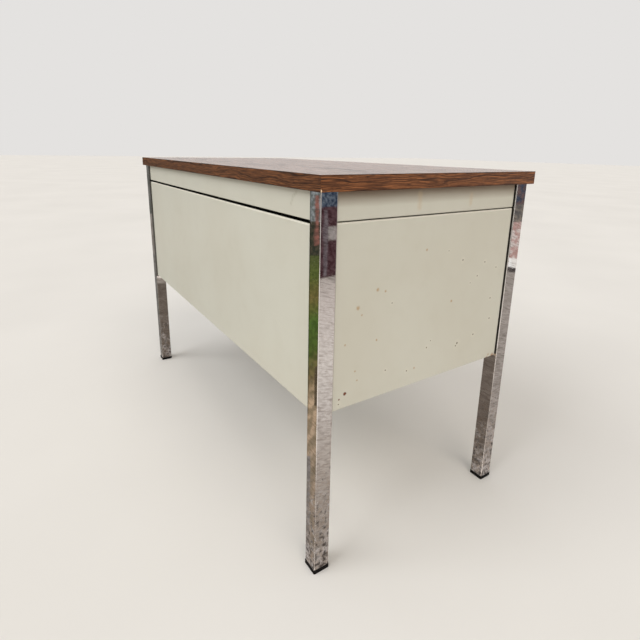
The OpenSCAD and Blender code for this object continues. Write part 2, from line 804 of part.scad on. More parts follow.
// Lock in the centre drawer's front. The cam lies flat at rest and turns up behind the front rail.
module lock_frame() {
    translate([lock_x, 0, lock_z]) rotate([90, 0, 0]) children();
}
module lock_barrel() {
    color(chrome) lock_frame() difference() {
        union() {
            translate([0, 0, -cam_y + front_gap]) cylinder(r = lock_r, h = face_y + cam_y - front_gap);
            translate([0, 0, face_y]) cylinder(r = bezel_r, h = bezel_t);
        }
        cylinder(r = plug_r + plug_clear, h = frame_d);
    }
}
module lock_plug() {
    head_y = face_y + bezel_t;
    color(satin_aluminium) lock_frame() difference() {
        union() {
            translate([0, 0, -cam_y]) cylinder(r = plug_r, h = head_y + cam_y);
            translate([0, 0, head_y]) cylinder(r = plug_head_r, h = plug_head_t);
        }
        translate([-key_w / 2, -key_h / 2, head_y + plug_head_t - key_d]) cube([key_w, key_h, key_d + 1]);
    }
}
module lock_cam() {
    color(zinc) lock_frame() translate([0, 0, -cam_y - cam_t]) {
        cylinder(r = cam_w / 2, h = cam_t);
        translate([0, -cam_w / 2, 0]) cube([cam_reach, cam_w, cam_t]);
    }
}

top_core();
top_laminate();
top_backer();
long_edge_band(-1);  // front_edge_band
long_edge_band(1);  // back_edge_band
short_edge_band(-1);  // left_edge_band
short_edge_band(1);  // right_edge_band
leg(-1, -1);  // front_left_leg
leg(1, -1);  // front_right_leg
leg(-1, 1);  // back_left_leg
leg(1, 1);  // back_right_leg
foot(-1, -1);  // front_left_foot
foot(1, -1);  // front_right_foot
foot(-1, 1);  // back_left_foot
foot(1, 1);  // back_right_foot
back_apron();
left_apron();
right_apron();
front_apron();
front_rail();
left_cross_rail();
right_cross_rail();
back_panel();
back_gap_strip();
left_end_panel();
right_end_panel();
pedestal_outer_side();
pedestal_inner_side();
pedestal_back();
pedestal_bottom();
divider_rail();
assembly_bolts();
top_screws();
case_runners();
case_roller_pins();
case_rollers(upper_slide_z);  // upper_case_rollers
case_rollers(lower_slide_z);  // lower_case_rollers
centre_drawer_channels();
box_body(upper_z);  // upper_drawer_body
box_front(upper_z);  // upper_drawer_front
box_front_liner(upper_z);  // upper_drawer_front_liner
box_pull(upper_z);  // upper_drawer_pull
drawer_runners(upper_slide_z);  // upper_drawer_runners
drawer_roller_pins(upper_slide_z);  // upper_drawer_roller_pins
drawer_rollers(upper_slide_z);  // upper_drawer_rollers
box_body(panel_low);  // lower_drawer_body
box_front(panel_low);  // lower_drawer_front
box_front_liner(panel_low);  // lower_drawer_front_liner
box_pull(panel_low);  // lower_drawer_pull
drawer_runners(lower_slide_z);  // lower_drawer_runners
drawer_roller_pins(lower_slide_z);  // lower_drawer_roller_pins
drawer_rollers(lower_slide_z);  // lower_drawer_rollers
centre_drawer_bottom();
centre_drawer_rim();
centre_drawer_front();
centre_drawer_front_liner();
centre_drawer_pull();
lock_barrel();
lock_plug();
lock_cam();
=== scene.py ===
# %% [markdown]
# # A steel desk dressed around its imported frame
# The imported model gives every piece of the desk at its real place. This notebook gives those
# pieces their finish. Sheet steel gets its rounded folds, the top its wood-grain laminate, the
# legs their worn chrome. Pieces whose plain shape is already right keep it and get a material.

# %% Load the frame
import json
import math

import bmesh
import bpy
from mathutils import Matrix, Vector


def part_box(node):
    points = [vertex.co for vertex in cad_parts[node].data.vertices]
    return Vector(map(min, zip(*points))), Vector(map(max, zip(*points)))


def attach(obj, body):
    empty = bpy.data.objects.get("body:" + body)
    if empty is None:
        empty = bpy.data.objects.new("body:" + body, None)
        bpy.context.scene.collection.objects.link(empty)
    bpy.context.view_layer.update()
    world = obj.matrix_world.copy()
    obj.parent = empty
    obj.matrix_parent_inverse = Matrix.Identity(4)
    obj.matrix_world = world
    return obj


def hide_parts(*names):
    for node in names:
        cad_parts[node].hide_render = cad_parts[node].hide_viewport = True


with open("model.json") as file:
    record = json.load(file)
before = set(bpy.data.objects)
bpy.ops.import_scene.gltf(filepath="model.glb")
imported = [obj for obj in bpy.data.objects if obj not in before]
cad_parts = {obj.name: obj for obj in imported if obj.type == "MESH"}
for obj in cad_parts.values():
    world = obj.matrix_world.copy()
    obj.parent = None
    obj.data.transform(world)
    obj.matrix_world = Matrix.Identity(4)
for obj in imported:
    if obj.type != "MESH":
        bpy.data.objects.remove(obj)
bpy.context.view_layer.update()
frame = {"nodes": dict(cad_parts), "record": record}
nodes = frame["nodes"]
MM = 0.001

# %% [markdown]
# ## Camera
# The photograph looks at a rear corner of the desk from just above the top. A camera is a place,
# three angles and a lens. The lens is given for a sensor 36 mm wide, and the small shift stands
# for a picture whose frame reaches lower than the middle of the lens.

# %% Camera
camera_data = bpy.data.cameras.new("camera")
camera_data.sensor_fit = "HORIZONTAL"
camera_data.sensor_width = 36
camera_data.lens = 25.6
camera_data.shift_y = -0.0792
camera = bpy.data.objects.new("camera", camera_data)
camera.location = (-1.1115, 0.6321, 0.7714)
camera.rotation_euler = [math.radians(angle) for angle in (75.297, -1.024, -123.192)]
bpy.context.scene.collection.objects.link(camera)
bpy.context.scene.camera = camera
print("camera at", [round(value, 3) for value in camera.location])

# %% [markdown]
# ## Helpers for materials
# Colours are written as sRGB hex codes, as a paint chart gives them, and turned to the linear
# values that a shader needs. One function adds any node, sets it up and links it. Object
# coordinates are in metres, so a pattern of a known size in millimetres has a scale of one over it.
# The other functions are steps that several finishes share, such as laying stains over a colour.

# %% Material helpers
def colour(code):
    """The linear colour of an sRGB hex code."""
    channels = [int(code[i:i + 2], 16) / 255 for i in (1, 3, 5)]
    linear = [c / 12.92 if c <= 0.04045 else ((c + 0.055) / 1.055) ** 2.4 for c in channels]
    return (*linear, 1.0)


def per(size):
    """The texture scale of a pattern whose features are `size` millimetres apart."""
    return 1 / (size * MM)


def add(tree, kind, inputs=None, **settings):
    """Add a node. An input is a value, a socket, a node, whose first output in use is linked, or a list."""
    node = tree.nodes.new(kind)
    for name, value in settings.items():
        setattr(node, name, value)
    for key, values in (inputs or {}).items():
        found = [s for s in node.inputs if s.identifier == key] or [s for s in node.inputs if s.name == key]
        for value in values if isinstance(values, list) else [values]:
            if isinstance(value, bpy.types.Node):
                value = next(s for s in value.outputs if s.enabled)
            if isinstance(value, bpy.types.NodeSocket):
                tree.links.new(value, found[0])
            else:
                found[0].default_value = value
    return node


def new_material(name):
    """An empty material, its node tree and its object coordinates."""
    material = bpy.data.materials.new(name)
    material.use_nodes = True
    tree = material.node_tree
    tree.nodes.clear()
    return material, tree, add(tree, "ShaderNodeTexCoord").outputs["Object"]


def finish_material(material, inputs, relief=None):
    """Close a material with one shader. Relief is a height in millimetres."""
    tree = material.node_tree
    if relief is not None:
        inputs["Normal"] = add(tree, "ShaderNodeBump", {"Distance": MM, "Height": relief})
    shader = add(tree, "ShaderNodeBsdfPrincipled", inputs)
    add(tree, "ShaderNodeOutputMaterial", {"Surface": shader.outputs["BSDF"]})
    return material


def patches(tree, place, size, low, high, detail=3.0):
    """A mask of soft patches of about `size` millimetres, where a noise passes from low to high."""
    noise = add(tree, "ShaderNodeTexNoise", {"Vector": place, "Scale": per(size), "Detail": detail})
    return add(tree, "ShaderNodeMapRange", {"Value": noise, "From Min": low, "From Max": high})


def drawn_out(tree, place, sizes, turn=(0, 0, 0)):
    """Coordinates turned by degrees, in which a texture of scale 1 has features of these millimetres."""
    angles = tuple(math.radians(angle) for angle in turn)
    turned = add(tree, "ShaderNodeMapping", {"Vector": place, "Rotation": angles})
    scale = tuple(per(size) for size in sizes)
    return add(tree, "ShaderNodeVectorMath", {"Vector": turned, "Vector_001": scale}, operation="MULTIPLY")


def streaks(tree, place, sizes, detail, roughness=0.5, turn=(0, 0, 0)):
    """A noise that is drawn out to features of these millimetres."""
    return add(tree, "ShaderNodeTexNoise", {"Vector": drawn_out(tree, place, sizes, turn), "Scale": 1.0,
                                            "Detail": detail, "Roughness": roughness})


def total(tree, *terms):
    """The sum of values, each times its weight. Either can be a node."""
    result = 0.0
    for value, weight in terms:
        inputs = {"Value": value, "Value_001": weight, "Value_002": result}
        result = add(tree, "ShaderNodeMath", inputs, operation="MULTIPLY_ADD")
    return result


def stained(tree, base, *stains):
    """A colour with stains (mask, hex code) laid over it one after another."""
    for mask, code in stains:
        inputs = {"Factor_Float": mask, "A_Color": base, "B_Color": colour(code)}
        base = add(tree, "ShaderNodeMix", inputs, data_type="RGBA")
    return base


def shaded(tree, base, code, value, start, end, strength=1.0):
    """A colour that turns to a stain where a value passes from start to end."""
    inputs = {"Value": value, "From Min": start, "From Max": end, "To Max": strength}
    return stained(tree, base, (add(tree, "ShaderNodeMapRange", inputs), code))


print("material helpers ready")

# %% [markdown]
# ## Enamel
# The sheet steel is sprayed with an off-white enamel and baked. Baked enamel is a hard semi-gloss
# film with a faint orange peel, a ripple of about 2 mm, over steel that is never quite flat. Age
# has yellowed it unevenly. Painted shade, browned like a reflection of the top, darkens it under the
# top, painted shade darkens the seams, and a painted highlight pales the panels' upper folds. On the
# end panel the rust has come through in small blisters, so that panel gets its own material with
# their places, in millimetres from the desk's middle and floor.
# A spot is a distance from its centre, and a little noise in the coordinates makes it ragged.

# %% Enamel
# More spot radii than any mark reaches
FAR = 9.0


def nearest(tree, place, spots, ragged):
    """Distance to the nearest of some spots (x, y, z, radius), as a share of that spot's radius."""
    noise = add(tree, "ShaderNodeTexNoise", {"Vector": place, "Scale": per(2.2), "Detail": 3.0})
    wobble = {"Vector": noise.outputs["Color"], "Vector_001": (ragged * MM,) * 3, "Vector_002": place}
    moved = add(tree, "ShaderNodeVectorMath", wobble, operation="MULTIPLY_ADD")
    field = FAR
    for x, y, z, radius in spots:
        middle = tuple((value + ragged / 2) * MM for value in (x, y, z))
        ends = {"Vector": moved, "Vector_001": middle}
        share = total(tree, (add(tree, "ShaderNodeVectorMath", ends, operation="DISTANCE"), per(radius)))
        field = add(tree, "ShaderNodeMath", {"Value": share, "Value_001": field}, operation="MINIMUM")
    return field


def enamel(name, marks=(), shade_under_ledge=None, ends=(), fold=None):
    """Baked enamel. A mark is (spots, raggedness, colour, strength, share of the radius at full strength).

    Painted shade lies under a ledge, given as (height, reach below it, strength), and in the seams at
    folded ends, given as (axis, sign, place along that axis times the sign). A panel's upper fold, at a
    height, gets a painted highlight.
    """
    material, tree, place = new_material(name)
    drift = patches(tree, place, 240, 0.38, 0.62)
    grime = total(tree, (patches(tree, place, 30, 0.5, 0.85, 6.0), 0.1))
    paint = stained(tree, colour("#CFCDBF"), (drift, "#CCC9BA"), (grime, "#B9B3A0"))
    parts = add(tree, "ShaderNodeSeparateXYZ", {"Vector": place}).outputs
    shade_ragging = streaks(tree, place, (60, 60, 9), 4.0)
    if shade_under_ledge:
        top, reach, strength = shade_under_ledge
        level = total(tree, (parts["Z"], 1 / MM), (shade_ragging, 4.0))
        # Painted shade under the top, browned like a reflection of the top, then a painted shadow line just
        # under it
        paint = shaded(tree, paint, "#816C55", level, top + 2 - reach, top - 1, strength)
        paint = shaded(tree, paint, "#2E241C", level, top + 0.4, top + 2.6, 0.7)
    if fold:
        # Painted highlight on the panel's upper fold
        paint = shaded(tree, paint, "#E8E4D6", parts["Z"], (fold - 2.8) * MM, (fold - 2.0) * MM, 0.85)
    for axis, sign, distance in ends:
        level = total(tree, (parts[axis], sign / MM), (shade_ragging, 2.0))
        # Painted shade in the seam at a folded end
        paint = shaded(tree, paint, "#1E1A16", level, distance - 0.6, distance + 1.4, 0.92)
    rough = 0.34
    for spots, ragged, code, strength, core in marks:
        field = nearest(tree, place, spots, ragged)
        edge = {"Value": field, "From Min": 1.0, "From Max": core, "To Max": strength}
        mask = add(tree, "ShaderNodeMapRange", edge)
        paint = stained(tree, paint, (mask, code))
        rough = total(tree, (rough, 1.0), (mask, 0.3))
    peel = add(tree, "ShaderNodeTexNoise", {"Vector": place, "Scale": per(2.0), "Detail": 1.0})
    buckle = add(tree, "ShaderNodeTexNoise", {"Vector": place, "Scale": per(170), "Detail": 1.0})
    relief = total(tree, (peel, 0.006), (buckle, 0.5))
    return finish_material(material, {"Base Color": paint, "Roughness": rough}, relief)


plain_enamel = enamel("baked_enamel")
print("enamel:", plain_enamel.name)

# %% Marks on the end panel and the aprons
TOP_LOW = 711.2
APRON_LOW = 663.6
END_X = -539
BACK_Y = 253
# Where the painted shade in the seam at a folded end lies, as (axis, sign, place along that axis times the
# sign)
END_SEAM = ("Y", -1, 222)
BACK_SEAM = ("X", 1, 508)
LOW_SEAM = ("Z", -1, 0.5 - APRON_LOW)


def on_end(*spots):
    """Spots (y, z, radius) on the left end of the desk."""
    return [(END_X, *spot) for spot in spots]


BLISTERS = on_end((197, 358, 4.0), (209, 350, 2.0))
RUST_SPOTS = on_end(
    (133, 539, 4.4), (175, 513, 5.2), (-60, 486, 3.6), (130, 445, 2.8), (166, 499, 2.4), (20, 598, 3.4),
    (115, 534, 3.0), (200, 451, 2.6), (176, 396, 2.6), (171, 377, 2.4), (30, 364, 3.0), (-200, 337, 3.4))
SPECKS = on_end(
    (-83, 567, 2.2), (-152, 555, 2.0), (-132, 528, 2.0), (105, 379, 1.8), (50, 363, 1.9), (-188, 425, 2.2),
    (-183, 472, 2.0), (-139, 398, 2.2), (-90, 389, 3.0), (-86, 384, 2.2), (-191, 539, 1.8), (0, 400, 1.9),
    (98, 509, 1.5), (210, 341, 1.8), (-112, 516, 1.4), (-10, 412, 1.3), (-40, 590, 1.3))
HALOS = [(x, y, z, 4 * r) for x, y, z, r in SPECKS]
LOW_EDGE_RUST = on_end((-214, 330, 9), (-196, 329, 6), (-178, 328.5, 4.5))
END_MARKS = [
    (HALOS, 2.0, "#D8D4C4", 0.5, 0.3),
    (RUST_SPOTS, 3.0, "#B2946A", 0.8, 0.35),
    (SPECKS, 1.6, "#6C6250", 1.0, 0.5),
    (LOW_EDGE_RUST, 6.0, "#9A6B3F", 0.8, 0.3),
    (BLISTERS, 2.5, "#6B3418", 1.0, 0.6)]
SMEARS = on_end(*[(47, z, 8) for z in range(677, 702, 4)], *[(-89, z, 7) for z in range(678, 695, 4)])
SCUFFS = [(x, BACK_Y, z, 5) for x, z in [(-463, 704), (-458, 700), (-452, 696), (-450, 690), (-446, 684)]]
# The aprons get painted shade under the top and in their seams. The panels get painted shade in their seams
# and a painted highlight on the upper fold.
end_fold, back_fold = [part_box(node)[1].z / MM for node in ("left_end_panel", "back_panel")]
end_enamel = enamel("baked_enamel_with_rust", END_MARKS, ends=[END_SEAM], fold=end_fold)
end_apron_enamel = enamel("baked_enamel_with_smears", [(SMEARS, 8.0, "#C6AC84", 0.42, 0.0)],
                          (TOP_LOW, 27, 1.0), [END_SEAM, LOW_SEAM])
back_apron_enamel = enamel("baked_enamel_with_scuffs", [(SCUFFS, 7.0, "#A9A48F", 0.5, 0.0)],
                           (TOP_LOW, 9, 0.25), [BACK_SEAM])
back_enamel = enamel("baked_enamel_with_shaded_ends", ends=[BACK_SEAM], fold=back_fold)
print("marked enamels: 4, with", len(BLISTERS + RUST_SPOTS + SPECKS), "spots on the end panel")

# %% [markdown]
# ## Wood-grain laminate
# The top is high-pressure laminate: a printed walnut pattern under clear resin, on layers of brown
# paper. Printed walnut follows sawn wood, so the pattern is made as wood is. The rings of the tree
# run along the board, bent by a slow noise, fine fibres lie between them, and short dark pores lie
# along the fibres. All are noises drawn out along the grain. The end bands were cut so that their
# grain runs along them, so the same pattern is turned by a right angle there. The bands' lower
# edge is dark, partly from wear and partly as painted shade under the arris, and the long bands'
# darker tones are painted shade.

# %% Wood-grain laminate
ENDLESS = 100000
CORNER_CHIP = (-553, 264.4, 713.4, 2.6)


def walnut(name, turn, gloss, streak, shine, tones, chip=None):
    """Walnut print with its grain turned, a roughness, a length of streaks, a specular level and two tones.

    A chip is a spot (x, y, z, radius) where the print has broken off.
    """
    material, tree, place = new_material(name)
    grain = (0, 0, turn)
    bends = streaks(tree, place, (150, 30, 30), 2.5, turn=grain)
    across = add(tree, "ShaderNodeSeparateXYZ", {"Vector": drawn_out(tree, place, (ENDLESS, 26, 7.5), grain)})
    ring = total(tree, (across.outputs["Y"], 1.0), (across.outputs["Z"], 1.0), (bends, 5.5))
    rings = add(tree, "ShaderNodeTexNoise", {"W": ring, "Scale": 1.5, "Detail": 3.0, "Roughness": 0.65},
                noise_dimensions="1D")
    dark = add(tree, "ShaderNodeMapRange", {"Value": rings, "From Min": 0.44, "From Max": 0.7})
    fibre = streaks(tree, place, (streak, 1.1, 1.1), 3.0, 0.6, grain)
    pores = streaks(tree, place, (11, 0.9, 0.9), 1.0, turn=grain)
    wood = shaded(tree, colour(tones[0]), tones[1], fibre, 0.39, 0.61)
    wood = stained(tree, wood, (dark, "#331D0F"))
    wood = shaded(tree, wood, "#22130A", pores, 0.6, 0.7, 0.7)
    height = add(tree, "ShaderNodeSeparateXYZ", {"Vector": place}).outputs["Z"]
    depth = total(tree, (height, -1 / MM), (fibre, 1.4))
    # The bands' lower arris is darkened, partly as wear and partly as painted shade under it
    wood = shaded(tree, wood, "#1C110A", depth, -TOP_LOW - 0.8, -TOP_LOW + 0.8, 0.85)
    if chip:
        wood = shaded(tree, wood, "#FFE2B8", nearest(tree, place, [chip], 1.0), 1.0, 0.8)
    rough = total(tree, (fibre, 0.1), (dark, 0.1), (1.0, gloss))
    inputs = {"Base Color": wood, "Roughness": rough, "Specular IOR Level": shine}
    return finish_material(material, inputs, total(tree, (fibre, -0.012), (pores, -0.01)))


walnut_top = walnut("walnut_laminate", 0, 0.15, 70, 0.5, ("#955D34", "#4E2C19"))
# The long strips are the same laminate as the end strips; their darker tones are painted shade.
walnut_long = walnut("walnut_laminate_strip", 0, 0.4, 38, 0.25, ("#86542F", "#462817"))
walnut_end = walnut("walnut_laminate_end_strip", 90, 0.36, 38, 0.25, ("#9E6339", "#502E1A"), CORNER_CHIP)
print("laminates:", walnut_top.name, walnut_long.name, walnut_end.name)

# %% [markdown]
# ## Worn chrome
# The legs are square steel tube, polished and plated with nickel and then chromium. Bright chromium
# is a mirror with a bluish grey tint. Polishing across the tube left fine ripples, which break up
# what it mirrors. Near the floor, years of wet mops have fogged it, crusted it and eaten pits into
# it, and painted shade darkens a leg where it meets the panels. A leg's round corners, which cloths
# rub hardest, stay brighter. So the material reads the height above the floor and the way that a
# face looks. Roughness and a loss of metal in crust and pits tell the eye more than their colour.

# %% Worn chrome
# Heights in millimetres, then the distances from the desk's middle between which the painted shade beside the
# panels fades in
PANEL_LOW = 325
WEAR_TOP = 300
WEAR_FULL = 10
RIPPLE_TOP = 420
RIPPLE_FULL = 330
SHADE_START_X = 516.5
SHADE_FULL_X = 511.5
# Patch size, detail and roughness of the noise, pull of the wear, levels at its start and at full, strength
HAZE = (6, 5.0, 0.65, 0.3, 0.6, 0.8, 0.7)
CRUST = (15, 6.0, 0.65, 0.3, 0.69, 0.87, 0.75)
PITS = (8, 4.0, 0.6, 0.24, 0.68, 0.82, 0.9)


def chrome(name):
    """Chromium plate, worn from the floor up, with painted shade beside the panels."""
    material, tree, place = new_material(name)
    parts = add(tree, "ShaderNodeSeparateXYZ", {"Vector": place}).outputs
    normal = add(tree, "ShaderNodeNewGeometry").outputs["True Normal"]
    normal = add(tree, "ShaderNodeVectorMath", {"Vector": normal}, operation="ABSOLUTE")
    facing = add(tree, "ShaderNodeSeparateXYZ", {"Vector": normal}).outputs
    flat = add(tree, "ShaderNodeMapRange", {"Value": total(tree, (facing["X"], facing["Y"])),
                                            "From Min": 0.35, "From Max": 0.1, "To Min": 0.45})
    worn = add(tree, "ShaderNodeMapRange", {"Value": parts["Z"], "From Min": WEAR_TOP * MM,
                                            "From Max": WEAR_FULL * MM})
    wear = total(tree, (worn, flat))
    masks = []
    for size, detail, roughness, pull, start, full, strength in (HAZE, CRUST, PITS):
        noise = add(tree, "ShaderNodeTexNoise", {"Vector": place, "Scale": per(size), "Detail": detail,
                                                 "Roughness": roughness})
        edge = {"Value": total(tree, (noise, 1.0), (wear, pull)), "From Min": start, "From Max": full,
                "To Max": strength}
        masks.append(add(tree, "ShaderNodeMapRange", edge))
    haze, crust, pits = masks
    low = add(tree, "ShaderNodeMapRange", {"Value": parts["Z"], "From Min": RIPPLE_TOP * MM,
                                           "From Max": RIPPLE_FULL * MM, "To Max": 0.95})
    rippled = add(tree, "ShaderNodeMath", {"Value": facing["X"], "Value_001": low}, operation="MAXIMUM")
    ripple = streaks(tree, place, (26, 26, 3.2), 2.0, turn=(-18, 0, 0))
    lines = total(tree, (total(tree, (ripple, rippled)), flat))
    film = total(tree, (streaks(tree, place, (13, 13, 5), 4.0, 0.6), 1.0), (low, 0.1))
    metal = shaded(tree, colour("#CDCCCB"), "#827B76", lines, 0.5, 0.75, 0.5)
    metal = shaded(tree, metal, "#948B85", film, 0.58, 0.78, 0.45)
    metal = stained(tree, metal, (haze, "#BDB1A5"), (crust, "#CBC7C8"), (pits, "#382F2A"))
    inward = add(tree, "ShaderNodeMath", {"Value": parts["X"]}, operation="ABSOLUTE")
    panel_shade = add(tree, "ShaderNodeMapRange", {"Value": inward, "From Min": SHADE_START_X * MM,
                                             "From Max": SHADE_FULL_X * MM, "To Max": 0.8})
    above = {"Value": parts["Z"], "Value_001": PANEL_LOW * MM}
    beside = add(tree, "ShaderNodeMath", above, operation="GREATER_THAN")
    # Painted shade on the legs' inner faces beside the panels
    metal = stained(tree, metal, (total(tree, (panel_shade, beside)), "#2A2620"))
    metallic = total(tree, (haze, -0.1), (crust, -0.6), (pits, -0.35), (1.0, 1.0))
    rough = total(tree, (haze, 0.16), (crust, 0.3), (pits, 0.3), (1.0, 0.035))
    bow = add(tree, "ShaderNodeTexNoise", {"Vector": place, "Scale": per(40), "Detail": 1.0})
    relief = total(tree, (lines, 0.004), (bow, 0.1), (pits, -0.03), (crust, 0.02))
    inputs = {"Base Color": metal, "Metallic": metallic, "Roughness": rough}
    return finish_material(material, inputs, relief)


leg_chrome = chrome("worn_chrome")
print("chrome:", leg_chrome.name)

# %% [markdown]
# ## Small materials
# Each of the other finishes is short. Zinc plate on bolts and slides is a soft grey metal with a
# faint mottle. The pulls are extruded aluminium, etched and anodised, whose die lines run along
# them. The lock's plug is nickel-plated brass, matted by the tool. Nylon rollers are ivory and matt,
# foot caps are black moulded plastic with a fine spark-eroded grain, and the core is raw particle
# board.

# %% Small materials
def finish_metal(material, tone, pattern, smooth, rough, depth):
    """Close a plain metal whose roughness and relief follow a pattern."""
    tree = material.node_tree
    roughness = add(tree, "ShaderNodeMapRange", {"Value": pattern, "To Min": smooth, "To Max": rough})
    inputs = {"Base Color": tone, "Metallic": 1.0, "Roughness": roughness}
    return finish_material(material, inputs, total(tree, (pattern, depth)))


def zinc():
    """Zinc plate, whose mottle is about 6 mm wide."""
    material, tree, place = new_material("zinc_plate")
    mottle = patches(tree, place, 6, 0.35, 0.65, 4.0)
    tone = stained(tree, colour("#B9BBB7"), (mottle, "#A2A5A3"))
    return finish_metal(material, tone, mottle, 0.28, 0.42, 0.004)


def anodised():
    """Etched and anodised aluminium, with the die's lines along the bar."""
    material, tree, place = new_material("anodised_aluminium")
    lines = streaks(tree, place, (220, 0.5, 0.5), 3.0)
    tone = stained(tree, colour("#C4C5C6"), (lines, "#A7A9AB"))
    return finish_metal(material, tone, lines, 0.26, 0.42, 0.006)


def plated_brass():
    """Nickel-plated brass with the faint marks of a tool, half a millimetre apart."""
    material, tree, place = new_material("nickel_plated_brass")
    grain = add(tree, "ShaderNodeTexNoise", {"Vector": place, "Scale": per(0.5), "Detail": 1.0})
    return finish_metal(material, colour("#C9BC95"), grain, 0.16, 0.3, 0.004)


def moulded(name, code, roughness, grain_size, depth, shine=0.5):
    """Moulded or sprayed plastic or paint with a fine grain."""
    material, tree, place = new_material(name)
    grain = add(tree, "ShaderNodeTexNoise", {"Vector": place, "Scale": per(grain_size), "Detail": 2.0})
    dust = patches(tree, place, 12, 0.45, 0.75, 5.0)
    rough = total(tree, (dust, 0.15), (grain, 0.05), (1.0, roughness))
    tone = stained(tree, colour(code), (total(tree, (dust, 0.02)), "#8B857B"))
    inputs = {"Base Color": tone, "Roughness": rough, "Specular IOR Level": shine}
    return finish_material(material, inputs, total(tree, (grain, depth)))


def particle_board():
    """Wood chips of 1 to 3 mm pressed with resin."""
    material, tree, place = new_material("particle_board")
    chips = add(tree, "ShaderNodeTexVoronoi", {"Vector": drawn_out(tree, place, (3, 3, 1)), "Scale": 1.0})
    tint = add(tree, "ShaderNodeSeparateColor", {"Color": chips.outputs["Color"]})
    tone = stained(tree, colour("#C9AD7E"), (tint, "#98784D"))
    return finish_material(material, {"Base Color": tone, "Roughness": 0.85}, total(tree, (chips, 0.08)))


def backer():
    """Brown resin-soaked paper with faint fibres."""
    material, tree, place = new_material("backer_sheet")
    fibre = streaks(tree, place, (14, 2, 2), 5.0)
    tone = stained(tree, colour("#5B4A3A"), (fibre, "#40342A"))
    return finish_material(material, {"Base Color": tone, "Roughness": 0.6}, total(tree, (fibre, 0.02)))


finishes = {
    "walnut_laminate": walnut_top,
    "particle_board": particle_board(),
    "backer_sheet": backer(),
    "cream_enamel": plain_enamel,
    # The black paint covers the strip behind the gap under the back apron, a dark sheet that stands in for
    # the shade inside that gap.
    "black_paint": moulded("matt_black_paint", "#030303", 0.8, 1.0, 0.01, 0.2),
    "chrome": leg_chrome,
    "foot_plastic": moulded("black_foot_plastic", "#040404", 0.55, 0.5, 0.015, 0.15),
    "satin_aluminium": anodised(),
    "lock_metal": plated_brass(),
    "zinc_plate": zinc(),
    "nylon": moulded("natural_nylon", "#E4E0D2", 0.4, 0.8, 0.006)}
for row in frame["record"]["subparts"]:
    for material_slot in nodes[row["node"]].material_slots:
        material_slot.material = finishes[row["material_slot"]]
print("finishes:", len(finishes))

# %% [markdown]
# ## Helpers for shapes
# Most shapes here are skins over rings of points: a ring is a closed outline, and each ring is
# joined to the next by faces. A rounded rectangle as the ring gives tubes, caps, trays and pressed
# pans. A finished mesh gets sharp edges where its faces turn by more than 35 degrees, and weighted
# normals, which keep large flat faces flat beside small round ones.

# %% Shape helpers
SHARP = math.radians(35)
WELD = 1e-6


def rounded_rectangle(width, depth, radius, steps=5):
    """Corner points of a centred rectangle with round corners, anticlockwise from the lower right."""
    points = []
    for quarter, (sx, sy) in enumerate([(1, -1), (1, 1), (-1, 1), (-1, -1)]):
        for step in range(steps + 1):
            angle = math.radians(90 * (quarter - 1 + step / steps))
            points.append((sx * (width / 2 - radius) + radius * math.cos(angle),
                           sy * (depth / 2 - radius) + radius * math.sin(angle)))
    return points


def object_of(name, data):
    """A linked object that holds a mesh or a light."""
    piece = bpy.data.objects.new(name, data)
    bpy.context.scene.collection.objects.link(piece)
    return piece


def skin(name, rings, close_start=True, close_end=True):
    """A mesh object over rings of points, with flat ends where they are closed."""
    mesh = bmesh.new()
    rows = [[mesh.verts.new(point) for point in ring] for ring in rings]
    count = len(rows[0])
    for low, high in zip(rows, rows[1:]):
        for i in range(count):
            mesh.faces.new((low[i], low[(i + 1) % count], high[(i + 1) % count], high[i]))
    if close_start:
        mesh.faces.new(rows[0][::-1])
    if close_end:
        mesh.faces.new(rows[-1])
    bmesh.ops.remove_doubles(mesh, verts=mesh.verts, dist=WELD)
    bmesh.ops.recalc_face_normals(mesh, faces=mesh.faces)
    data = bpy.data.meshes.new(name)
    mesh.to_mesh(data)
    mesh.free()
    return object_of(name, data)


def bake(piece):
    """Turn what a piece's modifiers make into its mesh."""
    evaluated = piece.evaluated_get(bpy.context.evaluated_depsgraph_get())
    mesh = bpy.data.meshes.new_from_object(evaluated)
    piece.modifiers.clear()
    piece.data = mesh


def settle(piece):
    """Apply a piece's modifiers, then set sharp edges and weighted normals."""
    piece.data.shade_smooth()
    bake(piece)
    piece.data.set_sharp_from_angle(angle=SHARP)
    piece.modifiers.new("normals", "WEIGHTED_NORMAL").keep_sharp = True
    bake(piece)
    return piece


def walled(piece, inside, thickness):
    """Turn an open skin's faces away from a point inside it, and give it a wall that grows inwards."""
    face = max(piece.data.polygons, key=lambda polygon: polygon.area)
    if face.normal.dot(face.center - inside) < 0:
        piece.data.flip_normals()
    wall = piece.modifiers.new("wall", "SOLIDIFY")
    wall.thickness = thickness
    wall.offset = -1
    wall.use_even_offset = True
    return settle(piece)


def dress(piece, material, slot, body, *replaced):
    """Give a finished piece its material and its body, and hide the nodes that it stands for. The slot is not
    used.
    """
    if not piece.data.materials:
        piece.data.materials.append(material)
    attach(piece, body)
    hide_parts(*replaced)
    print(piece.name, len(piece.data.polygons), "faces on", body)


print("shape helpers ready")

# %% [markdown]
# ## Pressed pans
# The aprons, the panels and the drawer fronts are pans: a sheet whose four edges are folded back,
# with the corners welded and ground smooth. One could bevel a box, but a fold has a known radius
# and each flange its own depth, so the pan is built as a skin. The first ring is the flat face, the
# next ones go round the fold, and the last one is the free edge of the flanges. Where two flanges of
# unlike depth meet, the deeper one is cut off at a slant, as a sheet-metal shear leaves it.

# %% Pressed pans
SHEET = 1.2 * MM
FOLD = 2.0 * MM
CORNER = 2.3 * MM
PAD = 2.0 * MM
FOLD_STEPS = 6
SLANT = 4 * MM


